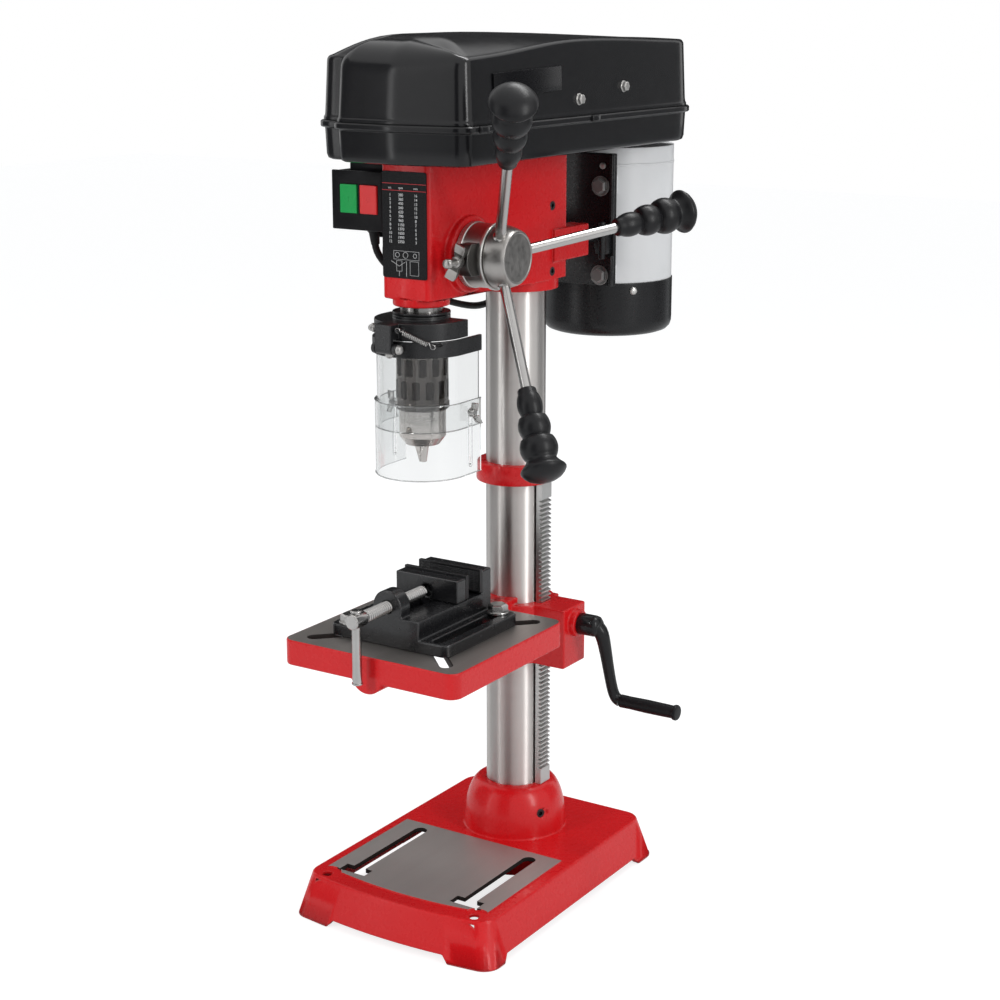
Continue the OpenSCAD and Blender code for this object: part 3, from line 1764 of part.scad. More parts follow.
// Lid: a leaning wall up to the shoulder, then a crest that falls to the rear
module lid_form(shrink) {
  crest_half = cover_w / 2 - crest_inset - shrink;
  top = lid_z + lid_h - 0.6 - shrink;
  hull() {
    translate([0, 0, lid_z - over * sign(shrink)])
      linear_extrude(0.1)
        cover_outline(lid_foot + shrink, $fn = 32);
    translate([0, 0, lid_z + lid_shoulder - shrink])
      linear_extrude(0.1)
        cover_outline(lid_lean + shrink, $fn = 32);
    translate([0, 0, top])
      linear_extrude(0.1)
        round_rect(-crest_half, crest_half, -cover_front + crest_front + shrink, 0, 12, $fn = 32);
    translate([0, 0, top - crest_drop])
      linear_extrude(0.1)
        round_rect(-crest_half, crest_half, 0, cover_back - crest_inset / 2 - lid_lean - shrink, 20,
                   $fn = 32);
  }
}

module cover_lid() {
  color(black)
    difference() {
      union() {
        difference() {
          union() {
            lid_form(0);
            translate([0, 0, lid_z])
              linear_extrude(rim_t)
                cover_outline(0);
          }
          lid_form(cover_wall);
        }
        for (y = lid_hinge_at)
          intersection() {
            lid_eye(y, lid_eye_w - 2 * seat, lid_z + 8);
            box(-cover_w, -cover_w / 2 + rim_out + 1, -cover_front, cover_back, lid_hinge_z - lid_eye_r,
              lid_top);
          }
      }
      for (y = lid_hinge_at)
        y_cyl(lid_pin_r + fit, y - lid_eye_w, y + lid_eye_w, lid_hinge_x, lid_hinge_z);
    }
}

base();
set_screws();
column();
rack_collar();
table_rack();
table_bracket();
tilt_bolt();
lock_lever();
lift_gear();
crank_worm();
crank_arm();
crank_grip();
table_top();
vise_body();
vise_fixed_plate();
vise_bolts();
vise_jaw();
vise_moving_plate();
vise_screw();
vise_bar();
head_casting();
speed_plate();
spring_cap();
return_spring();
switch_box();
start_button();
stop_button();
motor_cable();
quill();
quill_bearings();
guard_clamp();
guard_ring();
guard_shield();
guard_lower_shield();
guard_spring();
guard_screws();
spindle();
chuck_body();
chuck_sleeve();
chuck_jaw_1();
chuck_jaw_2();
chuck_jaw_3();
feed_shaft();
feed_hub();
feed_rods();
feed_grips();
depth_ring();
motor_plate();
motor_body();
motor_fan_cap();
motor_bolts();
motor_shaft();
motor_pulley();
spindle_pulley();
idler_arm();
idler_pulley();
front_belt();
rear_belt();
cover_tray();
cover_lid();
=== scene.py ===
import math
import bpy
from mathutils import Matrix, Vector


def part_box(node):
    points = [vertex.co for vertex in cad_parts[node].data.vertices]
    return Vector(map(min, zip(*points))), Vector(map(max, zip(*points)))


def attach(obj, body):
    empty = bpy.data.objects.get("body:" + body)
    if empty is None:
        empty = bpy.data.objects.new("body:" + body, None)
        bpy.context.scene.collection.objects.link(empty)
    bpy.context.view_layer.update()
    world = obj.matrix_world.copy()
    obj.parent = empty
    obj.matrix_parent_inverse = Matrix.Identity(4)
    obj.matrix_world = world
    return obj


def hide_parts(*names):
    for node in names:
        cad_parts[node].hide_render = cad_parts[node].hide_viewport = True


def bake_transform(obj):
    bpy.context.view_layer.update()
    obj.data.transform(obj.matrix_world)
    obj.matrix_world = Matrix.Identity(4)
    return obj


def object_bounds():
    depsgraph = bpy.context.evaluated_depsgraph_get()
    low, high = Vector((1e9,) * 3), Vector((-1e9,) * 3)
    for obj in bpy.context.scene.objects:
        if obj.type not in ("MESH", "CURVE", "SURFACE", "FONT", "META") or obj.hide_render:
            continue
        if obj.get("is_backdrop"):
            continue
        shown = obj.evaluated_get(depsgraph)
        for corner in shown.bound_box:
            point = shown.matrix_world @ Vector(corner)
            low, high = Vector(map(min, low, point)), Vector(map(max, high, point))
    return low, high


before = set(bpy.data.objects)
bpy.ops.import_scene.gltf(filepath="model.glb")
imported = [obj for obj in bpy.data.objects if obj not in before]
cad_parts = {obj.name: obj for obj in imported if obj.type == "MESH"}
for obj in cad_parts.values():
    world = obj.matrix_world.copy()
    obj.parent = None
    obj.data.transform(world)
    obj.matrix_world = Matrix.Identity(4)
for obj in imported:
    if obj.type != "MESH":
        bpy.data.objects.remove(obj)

cad_low, cad_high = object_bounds()


# Studio
# A camera at the photograph's place, a pale floor that keeps the shadow, a white surround and three soft lamps.
# Four dark cards and a bright strip, which only mirrors show, give the steel and the black plastic their bands.
scene = bpy.context.scene
scene.view_settings.view_transform = "Standard"
bpy.ops.object.select_all(action="DESELECT")
bpy.ops.object.camera_add(location=(1.0299, -1.6337, 0.8959),
                          rotation=(math.radians(75.5), 0, math.radians(32.7)))
photo_camera = bpy.context.object
photo_camera.name = "photo_camera"
photo_camera.data.sensor_width = 36
photo_camera.data.lens = 70.25
scene.camera = photo_camera


def wire(tree, node, sockets):
    for socket, value in sockets.items():
        if isinstance(value, bpy.types.NodeSocket):
            tree.links.new(value, node.inputs[socket])
        else:
            node.inputs[socket].default_value = value


def new_node(tree, kind, sockets=None, **settings):
    node = tree.nodes.new(kind)
    for setting, value in settings.items():
        setattr(node, setting, value)
    wire(tree, node, sockets or {})
    return node


def either(tree, first, second):
    return new_node(tree, "ShaderNodeMath", {0: first, 1: second}, operation="MAXIMUM").outputs[0]


studio = bpy.data.worlds.new("white_studio")
studio.use_nodes = True
scene.world = studio
tree = studio.node_tree
tree.nodes.clear()
surround = new_node(tree, "ShaderNodeBackground", {"Color": (1, 1, 1, 1)})
sky_fill = new_node(tree, "ShaderNodeBackground", {"Color": (0.94, 0.97, 1, 1), "Strength": 0.5})
ray = new_node(tree, "ShaderNodeLightPath").outputs
shown = either(tree, ray["Is Camera Ray"], either(tree, ray["Is Glossy Ray"], ray["Is Transmission Ray"]))
pick = new_node(tree, "ShaderNodeMixShader", {0: shown, 1: sky_fill.outputs[0], 2: surround.outputs[0]})
new_node(tree, "ShaderNodeOutputWorld", {"Surface": pick.outputs[0]})

for name, at, aim, size, power in [
        ("key_strip", (-1.0, -2.3, 1.7), (0, -0.05, 0.5), (0.45, 1.3), 26),
        ("side_strip", (2.3, -0.5, 1.3), (0, 0, 0.45), (0.35, 1.6), 20),
        ("top_strip", (0.2, 0.7, 2.4), (0, 0, 0.3), (1.5, 0.4), 22)]:
    bpy.ops.object.light_add(type="AREA", location=at)
    lamp = bpy.context.object
    lamp.name = name
    lamp.data.shape = "RECTANGLE"
    lamp.data.size, lamp.data.size_y = size
    lamp.data.energy = power
    lamp.rotation_euler = (Vector(aim) - Vector(at)).to_track_quat("-Z", "Y").to_euler()
    lamp.visible_glossy = name != "key_strip"


def new_material(name):
    material = bpy.data.materials.new(name)
    material.use_nodes = True
    return material, material.node_tree, material.node_tree.nodes["Principled BSDF"]


bpy.ops.mesh.primitive_plane_add(size=14, location=(0, 0, -0.0006))
floor = bpy.context.object
floor.name = "pale_floor"
bpy.ops.object.transform_apply()
floor_paper, tree, shader = new_material("floor_paper")
ray = new_node(tree, "ShaderNodeLightPath").outputs
seen = either(tree, ray["Is Camera Ray"], ray["Is Transmission Ray"])
lift = new_node(tree, "ShaderNodeMath", {0: seen, 1: 0.8}, operation="MULTIPLY")
shade = new_node(tree, "ShaderNodeMix", {0: seen, 6: (0.82, 0.82, 0.82, 1), 7: (0.34, 0.34, 0.34, 1)},
                 data_type="RGBA")
wire(tree, shader, {
    "Base Color": shade.outputs[2], "Roughness": 0.9, "Specular IOR Level": 0.1, "Emission Color": (1, 1, 1, 1),
    "Emission Strength": lift.outputs[0]})
floor.data.materials.append(floor_paper)
floor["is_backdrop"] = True

for name, turn, reach, wide, tall, tone, glow in [
        ("front_card", -86, 2.3, 1.15, 2.4, 0.01, 0), ("left_card", -152, 2.2, 1.9, 2.4, 0.14, 0),
        ("streak_card", -121.5, 2.2, 0.2, 2.0, 1, 2.5),
        ("rear_card", 118, 2.6, 3.6, 2.6, 0.04, 0), ("right_card", 52, 2.4, 1.5, 2.4, 0.22, 0)]:
    bpy.ops.mesh.primitive_plane_add(size=1)
    card = bpy.context.object
    card.name = name
    card.scale = (wide, tall, 1)
    card.rotation_euler = (math.pi / 2, 0, math.radians(turn + 90))
    card.location = (reach * math.cos(math.radians(turn)), reach * math.sin(math.radians(turn)), tall / 2 - 0.2)
    bpy.ops.object.transform_apply(location=True, rotation=True, scale=True)
    card.visible_camera = card.visible_diffuse = card.visible_transmission = card.visible_shadow = False
    felt, tree, shader = new_material(name + "_felt")
    wire(tree, shader, {"Base Color": (tone, tone, tone, 1), "Roughness": 1, "Specular IOR Level": 0,
                        "Emission Strength": glow})
    card.data.materials.append(felt)
    card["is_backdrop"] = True


# Motor cable
# A round black rubber lead, 7 mm thick, from the switch box's underside to the motor's terminal box.
# It hangs in one loop under the left side of the head, in a moulded gland at each end.
def node_group(name, inputs, outputs):
    group = bpy.data.node_groups.new(name, "ShaderNodeTree")
    for label, kind in inputs:
        group.interface.new_socket(name=label, in_out="INPUT", socket_type="NodeSocket" + kind)
    for label, kind in outputs:
        group.interface.new_socket(name=label, in_out="OUTPUT", socket_type="NodeSocket" + kind)
    return group, group.nodes.new("NodeGroupInput"), group.nodes.new("NodeGroupOutput")


fine_grain, given, put = node_group("fine_grain", [("Scale", "Float"), ("Stretch", "Vector")],
                                    [("Broad", "Float"), ("Fine", "Float")])
place_on = new_node(fine_grain, "ShaderNodeTexCoord")
pull = new_node(fine_grain, "ShaderNodeVectorMath", {0: place_on.outputs["Object"], 1: given.outputs["Stretch"]},
                operation="MULTIPLY")
wide = new_node(fine_grain, "ShaderNodeMath", {0: given.outputs["Scale"], 1: 0.07}, operation="MULTIPLY")
for label, detail, scale_from in [("Fine", 5, given.outputs["Scale"]), ("Broad", 3, wide.outputs[0])]:
    noise = new_node(fine_grain, "ShaderNodeTexNoise", {
        "Vector": pull.outputs[0], "Scale": scale_from, "Detail": detail, "Roughness": 0.6})
    wire(fine_grain, put, {label: noise.outputs["Fac"]})

# A bevelled normal that rounds the edges, and a mask near the edges that finish() paints lighter: a painted edge
# highlight.
edge_round_sheen, given, put = node_group("edge_round_sheen", [("Radius", "Float")], [("Mask", "Float"), ("Normal", "Vector")])
rounded = new_node(edge_round_sheen, "ShaderNodeBevel", {"Radius": given.outputs["Radius"]}, samples=4)
facing = new_node(edge_round_sheen, "ShaderNodeNewGeometry")
turn_off = new_node(edge_round_sheen, "ShaderNodeVectorMath", {0: rounded.outputs["Normal"], 1: facing.outputs["Normal"]},
                    operation="DOT_PRODUCT")
near_edge = new_node(edge_round_sheen, "ShaderNodeMapRange", {
    "Value": turn_off.outputs["Value"], "From Min": 0.995, "From Max": 0.8})
wire(edge_round_sheen, put, {"Mask": near_edge.outputs["Result"], "Normal": rounded.outputs["Normal"]})


def finish(name, dark, light, rough, metallic=0.0, scale=400.0, stretch=(1, 1, 1), bump=0.1, edge=0.0012,
           edge_highlight_tone=None, coat=0.0, shine=0.5):
    material, tree, shader = new_material(name)
    skin = new_node(tree, "ShaderNodeGroup", {"Scale": scale, "Stretch": stretch}, node_tree=fine_grain)
    rim = new_node(tree, "ShaderNodeGroup", {"Radius": edge}, node_tree=edge_round_sheen)
    tone = new_node(tree, "ShaderNodeMix", {0: skin.outputs["Broad"], 6: (*dark, 1), 7: (*light, 1)},
                    data_type="RGBA")
    # Each material's edge tone, or its light tone if none is given, is mixed in along its edges: a painted highlight
    # on every edge.
    highlighted_edges = new_node(tree, "ShaderNodeMix", {
        0: rim.outputs["Mask"], 6: tone.outputs[2], 7: (*(edge_highlight_tone or light), 1)}, data_type="RGBA")
    gloss = new_node(tree, "ShaderNodeMapRange", {
        "Value": skin.outputs["Fine"], "From Min": 0.25, "From Max": 0.75, "To Min": rough[0], "To Max": rough[1]})
    relief = new_node(tree, "ShaderNodeBump", {
        "Strength": bump, "Distance": 0.0004, "Height": skin.outputs["Fine"], "Normal": rim.outputs["Normal"]})
    wire(tree, shader, {
        "Base Color": highlighted_edges.outputs[2], "Metallic": metallic, "Roughness": gloss.outputs["Result"],
        "Specular IOR Level": shine, "Coat Weight": coat, "Coat Roughness": 0.08,
        "Normal": relief.outputs["Normal"]})
    return material


def choose(piece):
    bpy.ops.object.select_all(action="DESELECT")
    piece.select_set(True)
    bpy.context.view_layer.objects.active = piece


def smooth(piece, angle=35):
    choose(piece)
    bpy.ops.object.shade_smooth_by_angle(angle=math.radians(angle))


def settle(piece, body, slot, material, *stands_for):
    piece.data.materials.clear()
    piece.data.materials.append(material)
    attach(piece, body)
    if stands_for:
        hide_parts(*stands_for)


def turned(name, steps, sides, ring=False):
    bpy.ops.object.select_all(action="DESELECT")
    radius, height = steps[0]
    bpy.ops.mesh.primitive_circle_add(vertices=sides, radius=radius, location=(0, 0, height),
                                      fill_type="NOTHING" if ring else "NGON")
    piece = bpy.context.object
    piece.name = name
    bpy.ops.object.transform_apply()
    bpy.ops.object.mode_set(mode="EDIT")
    bpy.ops.mesh.select_all(action="SELECT")
    for next_radius, next_height in steps[1:] + (steps[:1] if ring else []):
        bpy.ops.mesh.extrude_region_move(TRANSFORM_OT_translate={"value": (0, 0, next_height - height)})
        bpy.ops.transform.resize(value=(next_radius / radius, next_radius / radius, 1))
        radius, height = next_radius, next_height
    bpy.ops.mesh.select_all(action="SELECT")
    bpy.ops.mesh.remove_doubles(threshold=0.00001)
    bpy.ops.mesh.normals_make_consistent(inside=False)
    bpy.ops.object.mode_set(mode="OBJECT")
    return piece


def put_at(piece, at, axis=(0, 0, 1)):
    choose(piece)
    piece.rotation_mode = "QUATERNION"
    piece.rotation_quaternion = Vector((0, 0, 1)).rotation_difference(Vector(axis))
    piece.location = at
    bpy.ops.object.transform_apply(location=True, rotation=True, scale=True)
    piece.rotation_mode = "XYZ"


def linked(name, data):
    piece = bpy.data.objects.new(name, data)
    scene.collection.objects.link(piece)
    return piece


def twin(piece, name):
    return linked(name, piece.data.copy())


def tube(name, points, radius, resolution=3, closed=False, widths=None):
    line = bpy.data.curves.new(name, "CURVE")
    line.dimensions = "3D"
    line.bevel_depth = radius
    line.bevel_resolution = resolution
    line.use_fill_caps = True
    thread = line.splines.new("POLY")
    thread.points.add(len(points) - 1)
    for k, (point, at) in enumerate(zip(thread.points, points)):
        point.co = (*at, 1)
        point.radius = widths[k] if widths else 1
    thread.use_cyclic_u = closed
    choose(linked(name, line))
    bpy.ops.object.convert(target="MESH")
    piece = bpy.context.object
    smooth(piece, 60)
    return piece


cable_stops = [Vector(p) for p in [
    (-0.080, -0.128, 0.6817), (-0.080, -0.128, 0.674), (-0.078, -0.122, 0.654), (-0.070, -0.098, 0.630),
    (-0.060, -0.062, 0.611), (-0.054, -0.026, 0.598), (-0.052, 0.012, 0.591), (-0.056, 0.052, 0.594),
    (-0.064, 0.086, 0.606), (-0.072, 0.114, 0.626), (-0.076, 0.136, 0.648), (-0.076, 0.150, 0.655),
    (-0.076, 0.1617, 0.656)]]
cable_line = []
for i in range(len(cable_stops) - 1):
    a, b, c, d = (cable_stops[max(0, min(len(cable_stops) - 1, i + k))] for k in (-1, 0, 1, 2))
    for s in range(5):
        t = s / 5
        cable_line.append((2 * b + (c - a) * t + (2 * a - 5 * b + 4 * c - d) * t * t
                           + (3 * b - a - 3 * c + d) * t * t * t) / 2)
cable_line.append(cable_stops[-1])
cable_rubber = finish("cable_rubber", (0.008, 0.008, 0.009), (0.014, 0.014, 0.015), (0.42, 0.6), scale=900,
                      bump=0.15, edge=0.0004, shine=0.2)
motor_cable = tube("motor_lead", cable_line, 0.0035)
motor_cable.data.materials.append(cable_rubber)
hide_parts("motor_cable")
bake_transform(motor_cable)
switch_gland = turned("switch_gland", [(0.0066, 0), (0.0066, 0.003), (0.0052, 0.005), (0.0042, 0.016),
                                       (0.0037, 0.017)], 24)
motor_gland = twin(switch_gland, "motor_gland")
put_at(switch_gland, (-0.080, -0.128, 0.682), (0.03, 0.12, -1))
put_at(motor_gland, (-0.076, 0.162, 0.656), (0, -1, -0.12))
for gland, body in [(switch_gland, "stand"), (motor_gland, "motor")]:
    smooth(gland)
    settle(gland, body, "black_rubber", cable_rubber)


# Base
# A grey iron casting on four feet, hollow below, painted glossy red, with a ground pad, two clamping slots and
# a dome that takes the column. It is bolted to the bench through two holes at the front.
def block(name, low, high):
    bpy.ops.object.select_all(action="DESELECT")
    low, high = Vector(low), Vector(high)
    bpy.ops.mesh.primitive_cube_add(size=1, location=(low + high) / 2, scale=high - low)
    piece = bpy.context.object
    piece.name = name
    bpy.ops.object.transform_apply()
    return piece


def all_over(piece, operator, **settings):
    choose(piece)
    bpy.ops.object.mode_set(mode="EDIT")
    bpy.ops.mesh.select_all(action="SELECT")
    operator(**settings)
    bpy.ops.object.mode_set(mode="OBJECT")


def modify(piece, kind, **settings):
    choose(piece)
    modifier = piece.modifiers.new(kind.lower(), kind)
    for setting, value in settings.items():
        setattr(modifier, setting, value)
    bpy.ops.object.modifier_apply(modifier=modifier.name)


def cut_out(piece, tool):
    modify(piece, "BOOLEAN", object=tool, operation="DIFFERENCE", solver="EXACT")
    bpy.data.objects.remove(tool)


def softened(node, name, width, segments=2, plain=lambda at: False, split=False, hollows=()):
    sharp_from, flare = 32, 1.12
    piece = twin(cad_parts[node], name)
    all_over(piece, bpy.ops.mesh.remove_doubles, threshold=0.00008)
    for low, high in hollows:
        core = block("core", low, high)
        for v in core.data.vertices:
            v.co.x *= flare if v.co.z < 0 else 1
        cut_out(piece, core)
    choose(piece)
    bpy.ops.object.mode_set(mode="EDIT")
    bpy.ops.mesh.select_all(action="SELECT")
    bpy.ops.mesh.dissolve_limited(angle_limit=math.radians(0.6))
    if split:
        bpy.ops.mesh.vert_connect_concave()
    bpy.ops.mesh.customdata_custom_splitnormals_clear()
    bpy.ops.object.mode_set(mode="OBJECT")
    smooth(piece, sharp_from)
    sides = {}
    for face in piece.data.polygons:
        for key in face.edge_keys:
            sides.setdefault(key, []).append(face.normal)
    weight = piece.data.attributes.new("bevel_weight_edge", "FLOAT", "EDGE")
    for edge in piece.data.edges:
        met = sides.get(tuple(sorted(edge.vertices)), [])
        a, b = (piece.data.vertices[i].co for i in edge.vertices)
        sharp = len(met) == 2 and met[0].angle(met[1], 0) > math.radians(sharp_from)
        weight.data[edge.index].value = 1.0 if sharp and not plain((a + b) / 2) else 0.0
    modify(piece, "BEVEL", width=width, segments=segments, limit_method="WEIGHT", use_clamp_overlap=False,
           harden_normals=True)
    return piece


def by_column(at):
    return math.hypot(at.x, at.y) < 0.0325


def face_with(piece, material, lies_there):
    piece.data.materials.append(material)
    last = len(piece.data.materials) - 1
    for face in piece.data.polygons:
        if lies_there(face.center, face.normal):
            face.material_index = last


red_paint = finish("red_casting_paint", (0.62, 0.008, 0.011), (0.645, 0.0095, 0.0125), (0.26, 0.29), scale=110,
                   bump=0.0012, edge=0.0018, edge_highlight_tone=(0.70, 0.03, 0.03), coat=0.1, shine=0.3)
ground_pad = finish("ground_pad_iron", (0.33, 0.31, 0.295), (0.39, 0.365, 0.35), (0.36, 0.48), metallic=0.55,
                    scale=700, stretch=(1, 0.05, 1), bump=0.006, edge=0.0006)
# A near-black for the walls of slots and recesses: painted shade where little light gets in.
slot_shade = finish("painted_recess_shade", (0.016, 0.013, 0.012), (0.03, 0.024, 0.022), (0.5, 0.7), scale=500, bump=0.1,
                    edge=0.0005, shine=0.1)


def plain_in_base(at):
    by_pad = at.z > 0.036 and abs(at.x) < 0.0975 and -0.2135 < at.y < -0.058
    in_hollow = at.z < 0.0415 and abs(at.x) < 0.1168 and -0.2255 < at.y < 0.0135
    return by_column(at) or by_pad or in_hollow


cast_base = softened("base", "cast_base", 0.0016, split=True, plain=plain_in_base, hollows=[
    ((-0.1052, -0.200, -0.010), (0.1052, -0.047, 0.0410)), ((-0.0945, -0.2230, -0.009), (0.0945, -0.196, 0.0409)),
    ((0.0440, -0.050, -0.012), (0.1050, 0.012, 0.0408)), ((-0.1050, -0.050, -0.012), (-0.0440, 0.012, 0.0408))])
for v in cast_base.data.vertices:
    v.co.z = max(v.co.z, 0)
settle(cast_base, "stand", "paint_red", red_paint, "base")
face_with(cast_base, ground_pad, lambda at, up: up.z > 0.97 and 0.0452 < at.z < 0.046)
# The walls inside the clamping slots take the near-black: painted shade in the slots.
face_with(cast_base, slot_shade, lambda at, up: -0.8 < up.z < 0.97 and 0.048 < abs(at.x) < 0.086
          and -0.2 < at.y < -0.072 and at.z > 0.038)


# Column
# A drawn steel tube, 60 mm across, ground all round and pushed into the dome of the base.
def dress(node, material):
    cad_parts[node].data.materials[0] = material


column_steel = finish("column_steel", (0.56, 0.535, 0.515), (0.62, 0.595, 0.575), (0.36, 0.42), metallic=1.0,
                      scale=420, stretch=(0.05, 0.05, 1), bump=0.0012, edge=0.0005)
wire(column_steel.node_tree, column_steel.node_tree.nodes["Principled BSDF"],
     {"Anisotropic": 0.95, "Anisotropic Rotation": 0.25})
column = turned("column_tube", [
    (0.0260, 0.0080), (0.0292, 0.0080), (0.0300, 0.0088), (0.0300, 0.7367), (0.0292, 0.7377), (0.0260, 0.7377)],
    128, ring=True)
smooth(column)
settle(column, "stand", "steel", column_steel, "column")


# Set screws
# Blackened steel screws with a hexagon socket, one in the dome, one in the rack collar and two in the head.
dark_steel = finish("blackened_steel", (0.028, 0.028, 0.03), (0.05, 0.05, 0.052), (0.3, 0.45), metallic=0.9,
                    scale=800, bump=0.08, edge=0.0005, edge_highlight_tone=(0.12, 0.12, 0.12))


def socketed(name, steps, across):
    piece = turned(name, steps, 24)
    inner = min(r for r, _ in steps)
    for v in piece.data.vertices:
        if abs(math.hypot(v.co.x, v.co.y) - inner) < 0.0001:
            spot = math.atan2(v.co.y, v.co.x)
            reach = across / 2 / math.cos((spot + math.pi / 6) % (math.pi / 3) - math.pi / 6)
            v.co.x, v.co.y = reach * math.cos(spot), reach * math.sin(spot)
    smooth(piece, 30)
    return piece


screw_steps = [(0.0048, 0), (0.0048, 0.0072), (0.0043, 0.0078), (0.0026, 0.0078), (0.0026, 0.0042)]
set_screw = socketed("set_screw_base", screw_steps, 0.0045)
aim = math.radians(-26)
places = [((0.0432 * math.cos(aim), 0.0432 * math.sin(aim), 0.070), (math.cos(aim), math.sin(aim), 0)),
          ((0, 0.0342, 0.430), (0, 1, 0)), ((0.0345, 0, 0.634), (1, 0, 0)), ((0.0345, 0, 0.698), (1, 0, 0))]
screws = [set_screw] + [twin(set_screw, "set_screw_%d" % k) for k in (2, 3, 4)]
for k, (screw, (at, axis)) in enumerate(zip(screws, places)):
    put_at(screw, at, axis)
    settle(screw, "stand", "dark_steel", dark_steel, *(["set_screws"] if k == 0 else []))


# Rack and its collar
# The toothed steel rack floats beside the column between the dome and a red ring, and swings with the table.
rack_steel = finish("rack_steel", (0.52, 0.515, 0.505), (0.62, 0.615, 0.605), (0.28, 0.42), metallic=1.0,
                    scale=500, stretch=(1, 1, 0.2), bump=0.02, edge=0.0003)
dress("table_rack", rack_steel)
collar = turned("rack_collar_ring", [
    (0.0301, 0.4200), (0.0386, 0.4200), (0.0395, 0.4204), (0.0400, 0.4214), (0.0400, 0.4386), (0.0395, 0.4396),
    (0.0386, 0.4400), (0.0301, 0.4400)], 96, ring=True)
smooth(collar)
settle(collar, "stand", "paint_red", red_paint, "rack_collar")


# Table bracket, tilt stud and clamp
# A red casting that slides on the column, with the gear box on its right and a tilting arm in front.
# A blackened screw with a cross bar closes its two ears behind the column.
bracket = softened("table_bracket", "bracket_casting", 0.0014, split=True,
                   plain=lambda at: by_column(at) or abs(at.y) < 0.014 and 0.03 < at.x < 0.066)
settle(bracket, "bracket", "paint_red", red_paint, "table_bracket")
dress("tilt_bolt", dark_steel)
dress("lock_lever", dark_steel)
dress("lift_gear", rack_steel)


# Table crank
# A worm shaft with a black painted arm, and a plastic grip that turns on the arm's pin.
def joined(name, parts):
    choose(parts[0])
    for part in parts:
        part.select_set(True)
    bpy.ops.object.join()
    piece = bpy.context.object
    piece.name = name
    return piece


crank_black = finish("crank_black_paint", (0.006, 0.006, 0.007), (0.011, 0.011, 0.012), (0.24, 0.4), scale=380,
                     bump=0.15, edge=0.001, edge_highlight_tone=(0.06, 0.06, 0.06), coat=0.2, shine=0.16)
grip_plastic = finish("grip_plastic", (0.006, 0.006, 0.007), (0.011, 0.011, 0.012), (0.3, 0.48), scale=1200,
                      bump=0.12, edge=0.0008, shine=0.16)
dress("crank_worm", rack_steel)
arm_line = [
    (0.0900, 0, 0.2780), (0.0970, 0, 0.2778), (0.1015, 0.0012, 0.2735), (0.1035, 0.0032, 0.2650),
    (0.1048, 0.0062, 0.2500), (0.1062, 0.0100, 0.2310), (0.1075, 0.0136, 0.2140), (0.1092, 0.0160, 0.2030),
    (0.1118, 0.0171, 0.1982), (0.1160, 0.0173, 0.1968)]
arm_widths = [1.3, 1.32, 1.25, 1.1, 1.0, 0.92, 0.9, 0.92, 0.98, 1.0]
crank_arm = tube("crank_arm_bar", arm_line, 0.0066, 5, widths=arm_widths)
modify(crank_arm, "SUBSURF", levels=1, render_levels=1)
crank_hub = turned("crank_hub", [
    (0.0080, 0.0787), (0.0104, 0.0787), (0.0110, 0.0793), (0.0110, 0.0950), (0.0104, 0.0985), (0.0080, 0.1012),
    (0.0040, 0.1022), (0.0010, 0.1024)], 40)
put_at(crank_hub, (0, 0, 0.278), (1, 0, 0))
crank_arm = joined("crank_arm_casting", [crank_arm, crank_hub])
smooth(crank_arm, 50)
settle(crank_arm, "crank", "black_paint", crank_black, "crank_arm")
crank_grip = turned("crank_handle_grip", [
    (0.0036, 0), (0.0062, 0), (0.0068, 0.0008), (0.0066, 0.012), (0.0070, 0.030), (0.0068, 0.052),
    (0.0066, 0.0605), (0.0076, 0.0615), (0.0080, 0.0625), (0.0080, 0.0645), (0.0072, 0.0657), (0.004, 0.066),
    (0.001, 0.066)], 32)
put_at(crank_grip, (0.1169, 0.01726, 0.1968), (1, 0, 0))
smooth(crank_grip)
settle(crank_grip, "crank_handle", "black_plastic", grip_plastic, "crank_grip")


# Table
# A red casting with ribs below, a ground top and four slots towards its corners, on the bracket's stud.
ground_iron = finish("ground_iron", (0.27, 0.25, 0.235), (0.34, 0.315, 0.30), (0.34, 0.46), metallic=0.85,
                     scale=700, stretch=(1, 0.05, 1), bump=0.006, edge=0.0006)
table = softened("table_top", "tilting_table", 0.0014)
settle(table, "table", "paint_red", red_paint, "table_top")
face_with(table, ground_iron, lambda at, up: up.z > 0.97 and at.z > 0.3022)
# The walls inside the table's slots take the near-black: painted shade in the slots.
face_with(table, slot_shade, lambda at, up: -0.8 < up.z < 0.97 and abs(at.x) < 0.088 and -0.25 < at.y < -0.078
          and at.z > 0.2935)


# Drill vise
# A black cast body with a sliding jaw, two dark jaw plates with cross grooves, and a bright threaded screw
# with a bar through its head. Two bright bolts with washers hold it in the table's slots.
vise_black = finish("vise_black_paint", (0.006, 0.006, 0.007), (0.012, 0.012, 0.013), (0.18, 0.30), scale=240,
                    bump=0.05, edge=0.0012, edge_highlight_tone=(0.14, 0.14, 0.14), shine=0.6)
bright_steel = finish("bright_steel", (0.42, 0.41, 0.40), (0.52, 0.51, 0.50), (0.16, 0.28), metallic=1.0,
                      scale=600, bump=0.006, edge=0.0003)
vise = softened("vise_body", "vise_casting", 0.0014)
settle(vise, "table", "black_paint", vise_black, "vise_body")
jaw = softened("vise_jaw", "vise_sliding_jaw", 0.0014)
settle(jaw, "jaw", "black_paint", vise_black, "vise_jaw")


